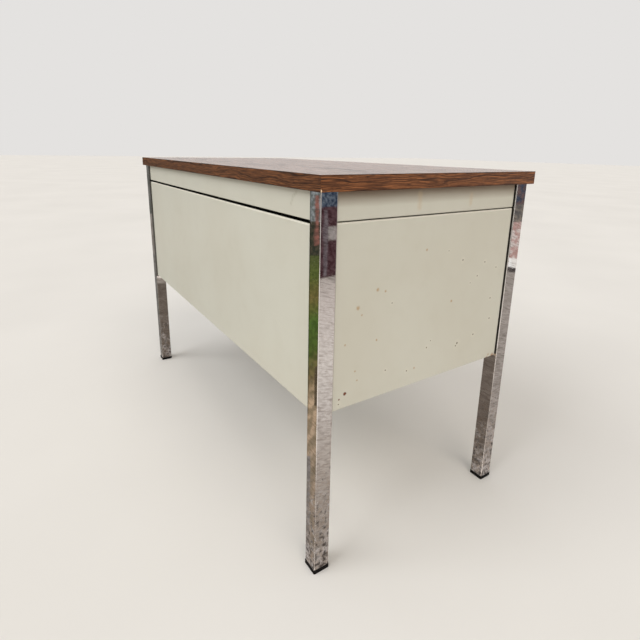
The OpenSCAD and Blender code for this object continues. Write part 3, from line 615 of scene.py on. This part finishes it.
def pan_rings(width, height, flanges):
    """Rings (x, depth, z) of a pan that is centred in x and z. Flanges are right, top, left, low."""
    rings = []
    for step in range(FOLD_STEPS + 2):
        angle = math.radians(90 * min(step, FOLD_STEPS) / FOLD_STEPS)
        inset = FOLD * (1 - math.sin(angle))
        outline = rounded_rectangle(width - 2 * inset, height - 2 * inset, CORNER - inset)
        corners = [outline[i:i + len(outline) // 4] for i in range(0, len(outline), len(outline) // 4)]
        ring = []
        for side, corner in enumerate(corners):
            following = corners[(side + 1) % 4]
            a, b = Vector(corner[-1]), Vector(following[0])
            along = (b - a).normalized() * SLANT
            shared = min(flanges[side - 1], flanges[side])
            depths = [shared] * len(corner) + [flanges[side]] * 2
            points = corner + [tuple(a + along), tuple(b - along)]
            for (x, z), depth in zip(points, depths):
                ring.append((x, depth if step > FOLD_STEPS else FOLD * (1 - math.cos(angle)), z))
        rings.append(ring)
    return rings


# Turn about Z in degrees, axis that the face looks along, and the end of the box that it lies on
FACES = {"back": (180, 1, 1), "left": (-90, 0, 0), "right": (90, 0, 1), "front": (0, 1, 0)}


def pan_over(node, side, flanges, pads):
    """A pan over a CAD node, on one side of the desk, less the pads at the node's low and high end."""
    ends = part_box(node)
    turn, out, outer = FACES[side]
    along = 1 - out
    width = ends[1][along] - ends[0][along] - PAD * sum(pads)
    height = ends[1].z - ends[0].z
    middle = (ends[0] + ends[1]) / 2
    middle[along] += PAD / 2 * (pads[0] - pads[1])
    middle[out] = ends[outer][out]
    place = Matrix.Translation(middle) @ Matrix.Rotation(math.radians(turn), 4, "Z")
    rings = [[place @ Vector(point) for point in ring]
             for ring in pan_rings(width, height, [depth * MM for depth in flanges])]
    sheet = skin(node + "_shell", rings, close_end=False)
    return walled(sheet, place @ Vector((0, max(flanges) * MM, 0)), SHEET)


# Each row: node, side, depths of the right, top, left and low flange seen from outside, pads, enamel
PANS = [
    ("back_apron", "back", (25, 25, 25, 25), (1, 1), back_apron_enamel),
    ("left_apron", "left", (25, 25, 25, 40), (1, 1), end_apron_enamel),
    ("right_apron", "right", (25, 25, 25, 25), (1, 1), plain_enamel),
    ("back_panel", "back", (19, 4, 19, 19), (1, 1), back_enamel),
    ("left_end_panel", "left", (19, 19, 19, 19), (1, 1), end_enamel),
    ("right_end_panel", "right", (19, 19, 19, 19), (1, 1), plain_enamel),
    ("front_apron", "front", (16.5, 16.5, 16.5, 16.5), (1, 0), plain_enamel)]
for node, side, flanges, pads, material in PANS:
    dress(pan_over(node, side, flanges, pads), material, "cream_enamel", "desk_frame", node)
for drawer in ("upper", "lower", "centre"):
    node = drawer + "_drawer_front"
    front = pan_over(node, "front", (16, 16, 16, 16), (0, 0))
    dress(front, plain_enamel, "cream_enamel", drawer + "_drawer", node)

# %% [markdown]
# ## Top
# The laminate is one sheet on the board, and four strips of it cover the edges. A router trims the
# sheet flush and eases its arris, so the edge shows the brown paper inside as a thin dark line. Each
# strip is a slab with eased edges, and the sheet's sides get a second material for that paper.

# %% Top
def inset_rings(low, high, levels, radius, least=0):
    """Level outlines of a box at levels (z, inset). Their round corners shrink with the inset."""
    middle = (low + high) / 2
    rings = []
    for z, inset in levels:
        outline = rounded_rectangle(high.x - low.x - 2 * inset, high.y - low.y - 2 * inset,
                                    max(radius - inset, least))
        rings.append([(middle.x + x, middle.y + y, z) for x, y in outline])
    return rings


def slab(name, low, high, radius, ease):
    """A flat block with round upright corners and eased edges, sizes in metres."""
    levels = [(low.z, ease), (low.z + ease, 0), (high.z - ease, 0), (high.z, ease)]
    return settle(skin(name, inset_rings(low, high, levels, radius)))


laminate = slab("laminate_sheet", *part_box("top_laminate"), 0.5 * MM, 0.25 * MM)
laminate.data.materials.append(walnut_top)
laminate.data.materials.append(moulded("laminate_edge_paper", "#2E1A12", 0.45, 0.6, 0.01))
for polygon in laminate.data.polygons:
    polygon.material_index = int(abs(polygon.normal.z) < 0.5)
dress(laminate, walnut_top, "walnut_laminate", "desk_frame", "top_laminate")
STRIPS = {"front": walnut_long, "back": walnut_long, "left": walnut_end, "right": walnut_end}
for side, laminate_strip in STRIPS.items():
    node = side + "_edge_band"
    band = slab(node + "_strip", *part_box(node), 0.3 * MM, 0.2 * MM)
    dress(band, laminate_strip, "walnut_laminate", "desk_frame", node)

# %% [markdown]
# ## Legs and feet
# A leg is a square tube drawn round over its corners, capped at the top. The skin of one outline
# from bottom to top, made solid inwards by the wall, is just that. A foot is a moulded cap: a pad a
# little wider than the tube, whose rim wraps the tube's end, and a plug that is pressed into it.

# %% Legs and feet
LEG_RADIUS = 1.4 * MM
LEG_WALL = 1.6 * MM
FOOT_PAD = 6 * MM
FOOT_RIM = 8 * MM
FOOT_LIP = 1 * MM
FOOT_EASE = 0.9 * MM
RIM_EASE = 0.3 * MM
RIM_PLAY = 0.1 * MM
PLUG_PLAY = 0.4 * MM
PLUG_RADIUS = 0.4 * MM


def square_rings(middle, levels):
    """Rounded square outlines at levels (z, width, corner radius)."""
    return [[(middle.x + x, middle.y + y, z) for x, y in rounded_rectangle(width, width, radius)]
            for z, width, radius in levels]


for end in ("front_left", "front_right", "back_left", "back_right"):
    low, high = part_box(end + "_leg")
    middle = (low + high) / 2
    width = high.x - low.x
    levels = [(low.z, width, LEG_RADIUS), (high.z, width, LEG_RADIUS)]
    tube = skin(end + "_leg_tube", square_rings(middle, levels), close_start=False)
    dress(walled(tube, middle, LEG_WALL), leg_chrome, "chrome", "desk_frame", end + "_leg")
    plug_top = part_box(end + "_foot")[1].z
    pad = width + 2 * FOOT_LIP
    plug = width - 2 * LEG_WALL - PLUG_PLAY
    radius = LEG_RADIUS + FOOT_LIP
    cheek = 0.3 * FOOT_EASE
    levels = [(0, pad - 2 * FOOT_EASE, radius - FOOT_EASE), (cheek, pad - 2 * cheek, radius),
              (FOOT_EASE, pad, radius), (FOOT_RIM - RIM_EASE, pad, radius),
              (FOOT_RIM, pad - 2 * RIM_EASE, radius), (FOOT_RIM, width + RIM_PLAY, LEG_RADIUS),
              (FOOT_PAD, width + RIM_PLAY, LEG_RADIUS), (FOOT_PAD, plug, PLUG_RADIUS),
              (plug_top - FOOT_EASE, plug, PLUG_RADIUS), (plug_top, plug - 2 * FOOT_EASE, PLUG_RADIUS)]
    cap = settle(skin(end + "_foot_cap", square_rings(middle, levels)))
    dress(cap, finishes["foot_plastic"], "foot_plastic", "desk_frame", end + "_foot")

# %% [markdown]
# ## Drawer boxes
# A steel drawer is folded from one sheet. Its rim is hemmed, which means folded back flat on
# itself, because a cut edge would scratch hands. One outline, walked up the outside, over the hem
# and down the inside, gives the whole box, and its corners and its floor get the fold's radius.

# %% Drawer boxes
HEM = 9 * MM
HEM_ROUND = 0.35 * MM
FLOOR_ROUND = 0.6 * MM
INNER_ROUND = 0.2 * MM
LEAST_RADIUS = 0.3 * MM


def open_box(name, low, high):
    """A folded sheet box with a hemmed rim, open at the top."""
    levels = [(low.z, FOLD), (low.z + FLOOR_ROUND, FLOOR_ROUND), (low.z + FOLD, 0), (high.z - SHEET, 0),
              (high.z - HEM_ROUND, HEM_ROUND), (high.z, SHEET), (high.z - HEM_ROUND, 2 * SHEET - HEM_ROUND),
              (high.z - SHEET, 2 * SHEET), (high.z - HEM, 2 * SHEET), (high.z - HEM, SHEET),
              (low.z + FOLD, SHEET), (low.z + SHEET + INNER_ROUND, SHEET + INNER_ROUND),
              (low.z + SHEET, FOLD)]
    return settle(skin(name, inset_rings(low, high, levels, 2 * FOLD, LEAST_RADIUS)))


for drawer in ("upper", "lower"):
    node = drawer + "_drawer_body"
    box = open_box(drawer + "_drawer_box", *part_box(node))
    dress(box, plain_enamel, "cream_enamel", drawer + "_drawer", node)

# %% [markdown]
# ## Lock barrel
# The barrel is a turned sleeve with a bevelled collar that covers the hole's edge. A turned piece is
# a profile carried round its axle, so it is a skin over circles, and its last circle closes on the
# first one to make the bore.

# %% Lock barrel
BORE = 5.6
SLEEVE = 9
COLLAR = 11.5
COLLAR_BACK = 2.5
FACE_RIM = 8.2
SUNK = 0.15
CIRCLE_STEPS = 64


def lathe(name, place, profile):
    """A turned ring: circles (radius, distance along -Y) in millimetres about a place."""
    turns = [math.radians(360 * i / CIRCLE_STEPS) for i in range(CIRCLE_STEPS)]
    rings = [[(place.x + radius * MM * math.cos(turn), place.y - along * MM,
               place.z + radius * MM * math.sin(turn)) for turn in turns] for radius, along in profile]
    return skin(name, rings, close_start=False, close_end=False)


low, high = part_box("lock_barrel")
lock_middle = (low + high) / 2
lock_middle.y = high.y
length = (high.y - low.y) / MM
PROFILE = [(BORE, 0), (SLEEVE - 0.4, 0), (SLEEVE, 0.4), (SLEEVE, length - COLLAR_BACK),
           (COLLAR - 0.2, length - COLLAR_BACK), (COLLAR, length - COLLAR_BACK + 0.2), (COLLAR, length - 1),
           (COLLAR - 0.9, length - 0.1), (COLLAR - 1.3, length), (FACE_RIM, length),
           (FACE_RIM - 0.3, length - SUNK), (BORE, length - SUNK), (BORE, 0)]
barrel = settle(lathe("lock_barrel_sleeve", lock_middle, PROFILE))
dress(barrel, finishes["lock_metal"], "lock_metal", "centre_drawer", "lock_barrel")

# %% [markdown]
# ## Bolts, screws and rollers
# These repeat, so each kind is one Geometry Nodes tree, which sets a shape on every point of a
# small cloud. The points come from the CAD nodes: each loose part of a node's mesh is one bolt, and
# the ends of its box say where it sits and where it points. The sizes are named inputs of the tree.

# %% Places of the repeated pieces
END_SLACK = 1e-5


def shapes_in(node):
    """The corner points of each loose part of a CAD node."""
    mesh = bmesh.new()
    mesh.from_mesh(nodes[node].data)
    bmesh.ops.remove_doubles(mesh, verts=mesh.verts, dist=WELD)
    left, shapes = set(mesh.verts), []
    while left:
        front, group = [left.pop()], []
        while front:
            vertex = front.pop()
            group.append(vertex.co.copy())
            near = {edge.other_vert(vertex) for edge in vertex.link_edges} & left
            left -= near
            front.extend(near)
        shapes.append(group)
    mesh.free()
    return sorted(shapes, key=lambda group: tuple(round(value, 4) for value in min(group, key=tuple)))


def ends_of(points, axis):
    """The points at the low and the high end of a shape along an axis."""
    return [[p for p in points if abs(p[axis] - end(q[axis] for q in points)) < END_SLACK]
            for end in (min, max)]


def pegs(node):
    """Head end, direction from head to tip, and length of each bolt or screw in a CAD node."""
    found = []
    for points in shapes_in(node):
        axis = max(range(3), key=lambda axis: min(len(end) for end in ends_of(points, axis)))
        ends = ends_of(points, axis)
        middles = [sum(end, Vector()) / len(end) for end in ends]
        widths = [max((p - middle).length for p in end) for end, middle in zip(ends, middles)]
        head, tip = (0, 1) if widths[0] > widths[1] else (1, 0)
        way = middles[tip] - middles[head]
        found.append((middles[head], way.normalized(), way.length))
    return found


def wheels(node):
    """Middle, axle direction and width of each roller in a CAD node."""
    found = []
    for points in shapes_in(node):
        low, high = [Vector([end(p[i] for p in points) for i in range(3)]) for end in (min, max)]
        found.append(((low + high) / 2, Vector((1, 0, 0)), high.x - low.x))
    return found


print("bolts:", len(pegs("assembly_bolts")), "screws:", len(pegs("top_screws")))

# %% Geometry Nodes trees
def new_tree(name, sizes):
    """A tree whose named inputs hold sizes in millimetres, and the sockets that give them out."""
    tree = bpy.data.node_groups.new(name, "GeometryNodeTree")
    tree.interface.new_socket("Geometry", in_out="INPUT", socket_type="NodeSocketGeometry")
    tree.interface.new_socket("Geometry", in_out="OUTPUT", socket_type="NodeSocketGeometry")
    for size, value in sizes.items():
        socket = tree.interface.new_socket(size, in_out="INPUT", socket_type="NodeSocketFloat")
        socket.default_value = value * MM
    return tree, add(tree, "NodeGroupInput").outputs


def on_points(tree, points, shape, scale=None):
    """Copies of a shape on the points, with its Z along each point's axis."""
    axis = add(tree, "GeometryNodeInputNamedAttribute", {"Name": "axis"}, data_type="FLOAT_VECTOR")
    turn = add(tree, "FunctionNodeAlignRotationToVector", {"Vector": axis}, axis="Z")
    inputs = {"Points": points, "Instance": shape, "Rotation": turn}
    if scale is not None:
        inputs["Scale"] = scale
    return add(tree, "GeometryNodeInstanceOnPoints", inputs)


def close_tree(tree, copies, material):
    """End a tree with real geometry and its material."""
    joined = add(tree, "GeometryNodeJoinGeometry", {"Geometry": copies})
    real = add(tree, "GeometryNodeRealizeInstances", {"Geometry": joined})
    painted = add(tree, "GeometryNodeSetMaterial", {"Geometry": real, "Material": material})
    add(tree, "NodeGroupOutput", {"Geometry": painted})
    return tree


def raised(tree, mesh, height):
    """A mesh moved along its own Z by a height."""
    shift = add(tree, "ShaderNodeCombineXYZ", {"Z": height})
    return add(tree, "GeometryNodeTransform", {"Geometry": mesh, "Translation": shift})


def peg_tree(name, sides, sizes, material):
    """A headed peg: a prism or disc with a bevelled end as its head, and a shank of any length."""
    tree, given = new_tree(name, sizes)
    bevel = add(tree, "GeometryNodeMeshCone", {"Vertices": sides, "Radius Top": given["Head radius"],
                                               "Radius Bottom": given["Bevel radius"],
                                               "Depth": given["Bevel height"]})
    block = add(tree, "GeometryNodeMeshCylinder", {"Vertices": sides, "Radius": given["Head radius"],
                                                   "Depth": given["Head height"]})
    block_up = total(tree, (given["Head height"], 0.5), (given["Bevel height"], 1.0))
    head = add(tree, "GeometryNodeJoinGeometry", {"Geometry": [bevel, raised(tree, block, block_up)]})
    shank = add(tree, "GeometryNodeMeshCylinder", {"Vertices": 24, "Radius": given["Shank radius"],
                                                   "Depth": 1.0})
    length = add(tree, "GeometryNodeInputNamedAttribute", {"Name": "length"}, data_type="FLOAT")
    stretch = add(tree, "ShaderNodeCombineXYZ", {"X": 1.0, "Y": 1.0, "Z": length})
    heads = on_points(tree, given["Geometry"], head)
    shanks = on_points(tree, given["Geometry"], raised(tree, shank, 0.5), stretch)
    return close_tree(tree, [heads, shanks], material)


def wheel_tree(name, sizes, material):
    """A moulded wheel: a rounded section swept round its axle."""
    tree, given = new_tree(name, sizes)
    rim, bore = given["Rim radius"], given["Bore radius"]
    path = add(tree, "GeometryNodeCurvePrimitiveCircle", {"Resolution": 64,
                                                          "Radius": total(tree, (rim, 0.5), (bore, 0.5))})
    section = add(tree, "GeometryNodeCurvePrimitiveQuadrilateral", {
        "Width": total(tree, (rim, 1.0), (bore, -1.0)), "Height": given["Width"]})
    round_section = add(tree, "GeometryNodeFilletCurve", {"Curve": section, "Radius": given["Edge radius"],
                                                          "Count": 4}, mode="POLY")
    wheel = add(tree, "GeometryNodeCurveToMesh", {"Curve": path, "Profile Curve": round_section})
    return close_tree(tree, [on_points(tree, given["Geometry"], wheel)], material)


def grow(name, tree, places):
    """The tree's shape at places (point, axis, length), as one plain mesh."""
    data = bpy.data.meshes.new(name)
    data.from_pydata([point for point, axis, length in places], [], [])
    axes = data.attributes.new("axis", "FLOAT_VECTOR", "POINT")
    axes.data.foreach_set("vector", [value for point, axis, length in places for value in axis])
    lengths = data.attributes.new("length", "FLOAT", "POINT")
    lengths.data.foreach_set("value", [length for point, axis, length in places])
    piece = object_of(name, data)
    piece.modifiers.new("copies", "NODES").node_group = tree
    bake(piece)
    piece.data.shade_smooth()
    piece.data.set_sharp_from_angle(angle=SHARP)
    return piece


bolt_sizes = {"Head radius": 4.6, "Head height": 2.7, "Bevel height": 0.5, "Bevel radius": 4.1,
              "Shank radius": 2.5}
screw_sizes = {"Head radius": 4, "Head height": 1.3, "Bevel height": 1.2, "Bevel radius": 2.6,
               "Shank radius": 2}
roller_sizes = {"Rim radius": 10.45, "Bore radius": 3.15, "Width": 3.4, "Edge radius": 0.6}
bolt_tree = peg_tree("hexagon_bolt", 6, bolt_sizes, finishes["zinc_plate"])
screw_tree = peg_tree("pan_head_screw", 32, screw_sizes, finishes["zinc_plate"])
roller_tree = wheel_tree("nylon_roller", roller_sizes, finishes["nylon"])
print("trees:", bolt_tree.name, screw_tree.name, roller_tree.name)

# %% Bolts, screws and rollers
bolts = grow("hexagon_bolts", bolt_tree, pegs("assembly_bolts"))
dress(bolts, finishes["zinc_plate"], "zinc_plate", "desk_frame", "assembly_bolts")
screws = grow("wood_screws", screw_tree, pegs("top_screws"))
dress(screws, finishes["zinc_plate"], "zinc_plate", "desk_frame", "top_screws")
for place in ("upper_case", "lower_case", "upper_drawer", "lower_drawer"):
    rollers = grow(place + "_roller_wheels", roller_tree, wheels(place + "_rollers"))
    dress(rollers, finishes["nylon"], "nylon", place + "_roller_pair", place + "_rollers")

# %% [markdown]
# ## Floor and light
# A pale floor, a pale world and three wide soft suns show the enamel as it is. A sun with a large
# angle is like an endless softbox: it has soft shadows and doesn't fade over the floor. The world
# lights the desk at one level and shows the camera and the metal a brighter one.

# %% Floor and world
def plain_floor():
    """A smooth matt floor with the faintest of clouds."""
    material, tree, place = new_material("pale_floor")
    tone = stained(tree, colour("#D6D3CE"), (patches(tree, place, 900, 0.3, 0.7), "#DBD8D3"))
    return finish_material(material, {"Base Color": tone, "Roughness": 1.0, "Specular IOR Level": 0.0})


bpy.ops.mesh.primitive_plane_add(size=80)
floor = bpy.context.object
floor.name = "floor"
floor.data.materials.append(plain_floor())

world = bpy.data.worlds.new("studio")
world.use_nodes = True
world.node_tree.nodes.clear()
rays = add(world.node_tree, "ShaderNodeLightPath").outputs
strength = total(world.node_tree, (rays["Is Camera Ray"], 0.3), (rays["Is Glossy Ray"], 0.42), (1.0, 0.7))
sky = add(world.node_tree, "ShaderNodeBackground", {"Color": colour("#E4E2E0"), "Strength": strength})
add(world.node_tree, "ShaderNodeOutputWorld", {"Surface": sky})
bpy.context.scene.world = world
bpy.context.scene.view_settings.view_transform = "Standard"
print("world:", world.name)

# %% Lights
SUN_ANGLE = 40


def soft_sun(name, towards, strength, code):
    """A wide soft sun that shines along a direction. Its own disc isn't seen in the metal."""
    light = bpy.data.lights.new(name, "SUN")
    light.angle = math.radians(SUN_ANGLE)
    light.energy = strength
    light.color = colour(code)[:3]
    lamp = object_of(name, light)
    lamp.rotation_euler = Vector(towards).to_track_quat("-Z", "Y").to_euler()
    lamp.visible_glossy = False
    print(name, strength)


soft_sun("window_side", (-0.1, -0.7, -0.7), 1.49, "#F6F8FA")
soft_sun("room_side", (0.7, -0.1, -0.7), 0.85, "#FFF5EA")
soft_sun("ceiling", (0, 0, -1), 0.45, "#FFFFFF")

# %% [markdown]
# ## Reflections
# A mirror shows what stands round it, so bare chrome in a white studio looks like grey paint. A
# photographer sets cards beside the steel. These are glowing cards that only reflections see. A
# vertical mirror sends the camera's ray on as if it had passed through, with one side swapped, and
# that is how their places were found: a card that should be seen in a leg stands on that ray. Two
# of the level cards are long, so their colour changes along them.

# %% Reflection cards
METRE = 1000
TINT = 0.45


def graded(tree, place, stops):
    """A colour that changes along X from stop to stop (place in metres, code), over a ragged line."""
    ragged = add(tree, "ShaderNodeTexNoise", {"Vector": place, "Scale": per(30), "Detail": 4.0})
    across = add(tree, "ShaderNodeSeparateXYZ", {"Vector": place}).outputs["X"]
    line = total(tree, (across, 1.0), (ragged, 0.16), (1.0, -0.08))
    start, end = stops[0][0], stops[-1][0]
    share = add(tree, "ShaderNodeMapRange", {"Value": line, "From Min": start, "From Max": end})
    ramp = add(tree, "ShaderNodeValToRGB", {"Fac": share})
    bar = ramp.color_ramp.elements
    bar[0].color, bar[1].color = colour(stops[0][1]), colour(stops[-1][1])
    for position, code in stops[1:-1]:
        bar.new((position - start) / (end - start)).color = colour(code)
    return ramp


def card(name, corners, tone, patch_code, size, strength=1.0, turn=0, stretch=1):
    """A glowing card with soft patches of a second colour, seen only in reflections.

    The patches' size is in millimetres, and they can be stretched along a direction. A tone that is a
    list of stops is graded, and the patches then only tint it.
    """
    material, tree, place = new_material(name)
    spread = drawn_out(tree, place, (METRE * stretch, METRE, METRE), (0, 0, -turn))
    cloud = patches(tree, spread, size, 0.44, 0.56)
    if isinstance(tone, list):
        mixed = stained(tree, graded(tree, place, tone), (total(tree, (cloud, TINT)), patch_code))
    else:
        mixed = stained(tree, colour(tone), (cloud, patch_code))
    glow = add(tree, "ShaderNodeEmission", {"Color": mixed, "Strength": strength})
    add(tree, "ShaderNodeOutputMaterial", {"Surface": glow})
    data = bpy.data.meshes.new(name)
    data.from_pydata(corners, [], [(0, 1, 2, 3)])
    data.materials.append(material)
    piece = object_of(name, data)
    for ray in ("camera", "diffuse", "shadow", "transmission", "volume_scatter"):
        setattr(piece, "visible_" + ray, False)
    print(name)


def standing(start, end, low, high):
    """Corners of an upright card between two places on the floor and two heights, in metres."""
    return [(*start, low), (*end, low), (*end, high), (*start, high)]


def lying(x0, y0, x1, y1, height):
    """Corners of a card that lies level."""
    return [(x0, y0, height), (x1, y0, height), (x1, y1, height), (x0, y1, height)]


def strip(start, end, width, height):
    """Corners of a level card along a line on the floor."""
    start, end = Vector((*start, height)), Vector((*end, height))
    along = (end - start).normalized()
    side = Vector((-along.y, along.x, 0)) * width / 2
    return [tuple(corner) for corner in (start - side, end - side, end + side, start + side)]


# Level cards lie one above another, in steps of this height
LOW = 1 * MM
# Stops of the long cards: a place along X in metres and a colour
WARM = [(-2.3, "#C6BCB4"), (-1.85, "#EADED7"), (-1.25, "#FAF0E8"), (-1.0, "#E8DED6"), (-0.8, "#CCC0B5"),
        (-0.6, "#AA9F95")]
GREEN = [(-0.5, "#B2A090"), (-0.03, "#E0C2A0"), (0.1, "#96805C"), (0.28, "#627438"), (0.55, "#62803C"),
         (0.85, "#8E7E4C"), (1.2, "#707C40"), (1.75, "#666C44")]
card("warm_floor", lying(-4, -0.9, -0.5, 0.6, LOW), WARM, "#B6AAA1", 16, 1.1)
card("warm_floor_side", lying(-4, -4, 0.5, -0.9, LOW), "#C2B8B0", "#B4AAA2", 150)
card("brown_floor_under", lying(-0.5, -0.9, 0.5, 0.27, LOW), "#867A70", "#766A60", 80)
card("brown_floor_back", lying(-0.5, 0.27, 0.55, 2.4, LOW), "#B5A89A", "#A19489", 90)
card("grey_floor_back", lying(0.55, 0.27, 3, 2.4, LOW), "#8B8782", "#7B7772", 90)
card("green_floor", strip((-0.52, 0.27), (1.75, 1.705), 0.19, 3 * LOW), GREEN, "#2E3A1C", 18,
     turn=33, stretch=3)
card("cool_floor_foot", strip((-0.245, 0.418), (-0.505, 0.252), 0.03, 4 * LOW), "#9D9793", "#8D8783", 12)
card("dark_line_foot", strip((0.16, 0.719), (-0.06, 0.573), 0.012, 4 * LOW), "#675B49", "#564B3B", 12)
card("dark_floor_back", lying(-0.21, 0.27, -0.05, 0.41, 2 * LOW), "#867A70", "#766A60", 80)
card("grey_floor_side", strip((-0.545, -0.24), (-1.4, -1.55), 0.2, 2 * LOW), "#C4B9B1", "#AFA59D", 50)
card("bright_line_near", strip((-0.55, -0.215), (-0.7, 0.01), 0.1, 3 * LOW), "#EADED4", "#F3E9E1", 200, 1.6)
card("bright_line_far", strip((-0.84, 0.22), (-1.7, 1.52), 0.2, 3 * LOW), "#EADED4", "#F3E9E1", 200, 1.6)
card("bright_floor", [(-0.556, 0.253, LOW), (-2.6, 1.9, LOW), (-1.2, 2.8, LOW), (-0.536, 0.266, LOW)],
     "#EADED4", "#F3E9E1", 200, 2.2)
card("bright_corner", standing((-2.35, 2.06), (-1.49, 2.62), 0, 1.6), "#F1E7E0", "#FBF3ED", 300, 2.2)
card("dim_corner_side", standing((-2.3, -0.5), (-2.35, 2.0), 0, 1.6), "#968F89", "#807973", 200)
card("dim_corner_back", standing((-1.45, 2.6), (1.44, 1.96), 0, 1.6), "#87817C", "#77716C", 200)
card("dim_beyond", standing((2.0, 2.0), (7, 2.4), 0, 1.4), "#6B6762", "#797570", 200)
card("dark_back", standing((1.45, 1.9), (1.95, 1.46), 0, 0.26), "#333A30", "#5A5446", 22)
card("grey_back", standing((1.45, 1.9), (1.95, 1.46), 0.26, 0.7), "#6A726E", "#B0B4B6", 22)
card("red_strip", standing((1.6, 1.67), (1.61, 1.632), 0.1, 0.46), "#AE7468", "#7C5A50", 30)
card("sage_side", standing((1.96, 1.45), (2.6, 0.2), 0, 1.5), "#807E78", "#6A6A64", 60)
card("pale_side", standing((1.93, 1.45), (2.57, 0.2), 0, 0.3), "#A09890", "#8E867E", 60)
card("maroon_side", standing((-2.27, -0.6), (-2.23, -1.3), 0, 0.44), "#482C30", "#6A5054", 20)
card("navy_side", standing((-2.27, -0.6), (-2.23, -1.3), 0.44, 0.9), "#26334A", "#78828E", 18)
card("grey_patch", standing((-2.2, -0.89), (-2.2, -0.98), 0.245, 0.32), "#C2B6B2", "#A8A09C", 30)
card("grey_post", standing((-2.2, -0.855), (-2.2, -0.888), 0.03, 0.43), "#8E8286", "#6C6064", 24)
SIDE = ((-1.9, -1.95), (-1.58, -2.2))
card("dark_side_low", standing(*SIDE, 0, 0.03), "#5A5250", "#4E4644", 60)
card("white_side", standing(*SIDE, 0.03, 0.1), "#FFFCF8", "#F4EEE8", 60, 1.3)
card("rose_side", standing(*SIDE, 0.1, 0.34), "#EADDD6", "#C8A098", 28, 1.12)
card("grey_side", standing(*SIDE, 0.34, 0.45), "#A09488", "#6E6A68", 25)
card("dark_side", standing(*SIDE, 0.45, 0.9), "#4C5464", "#7C6662", 25)
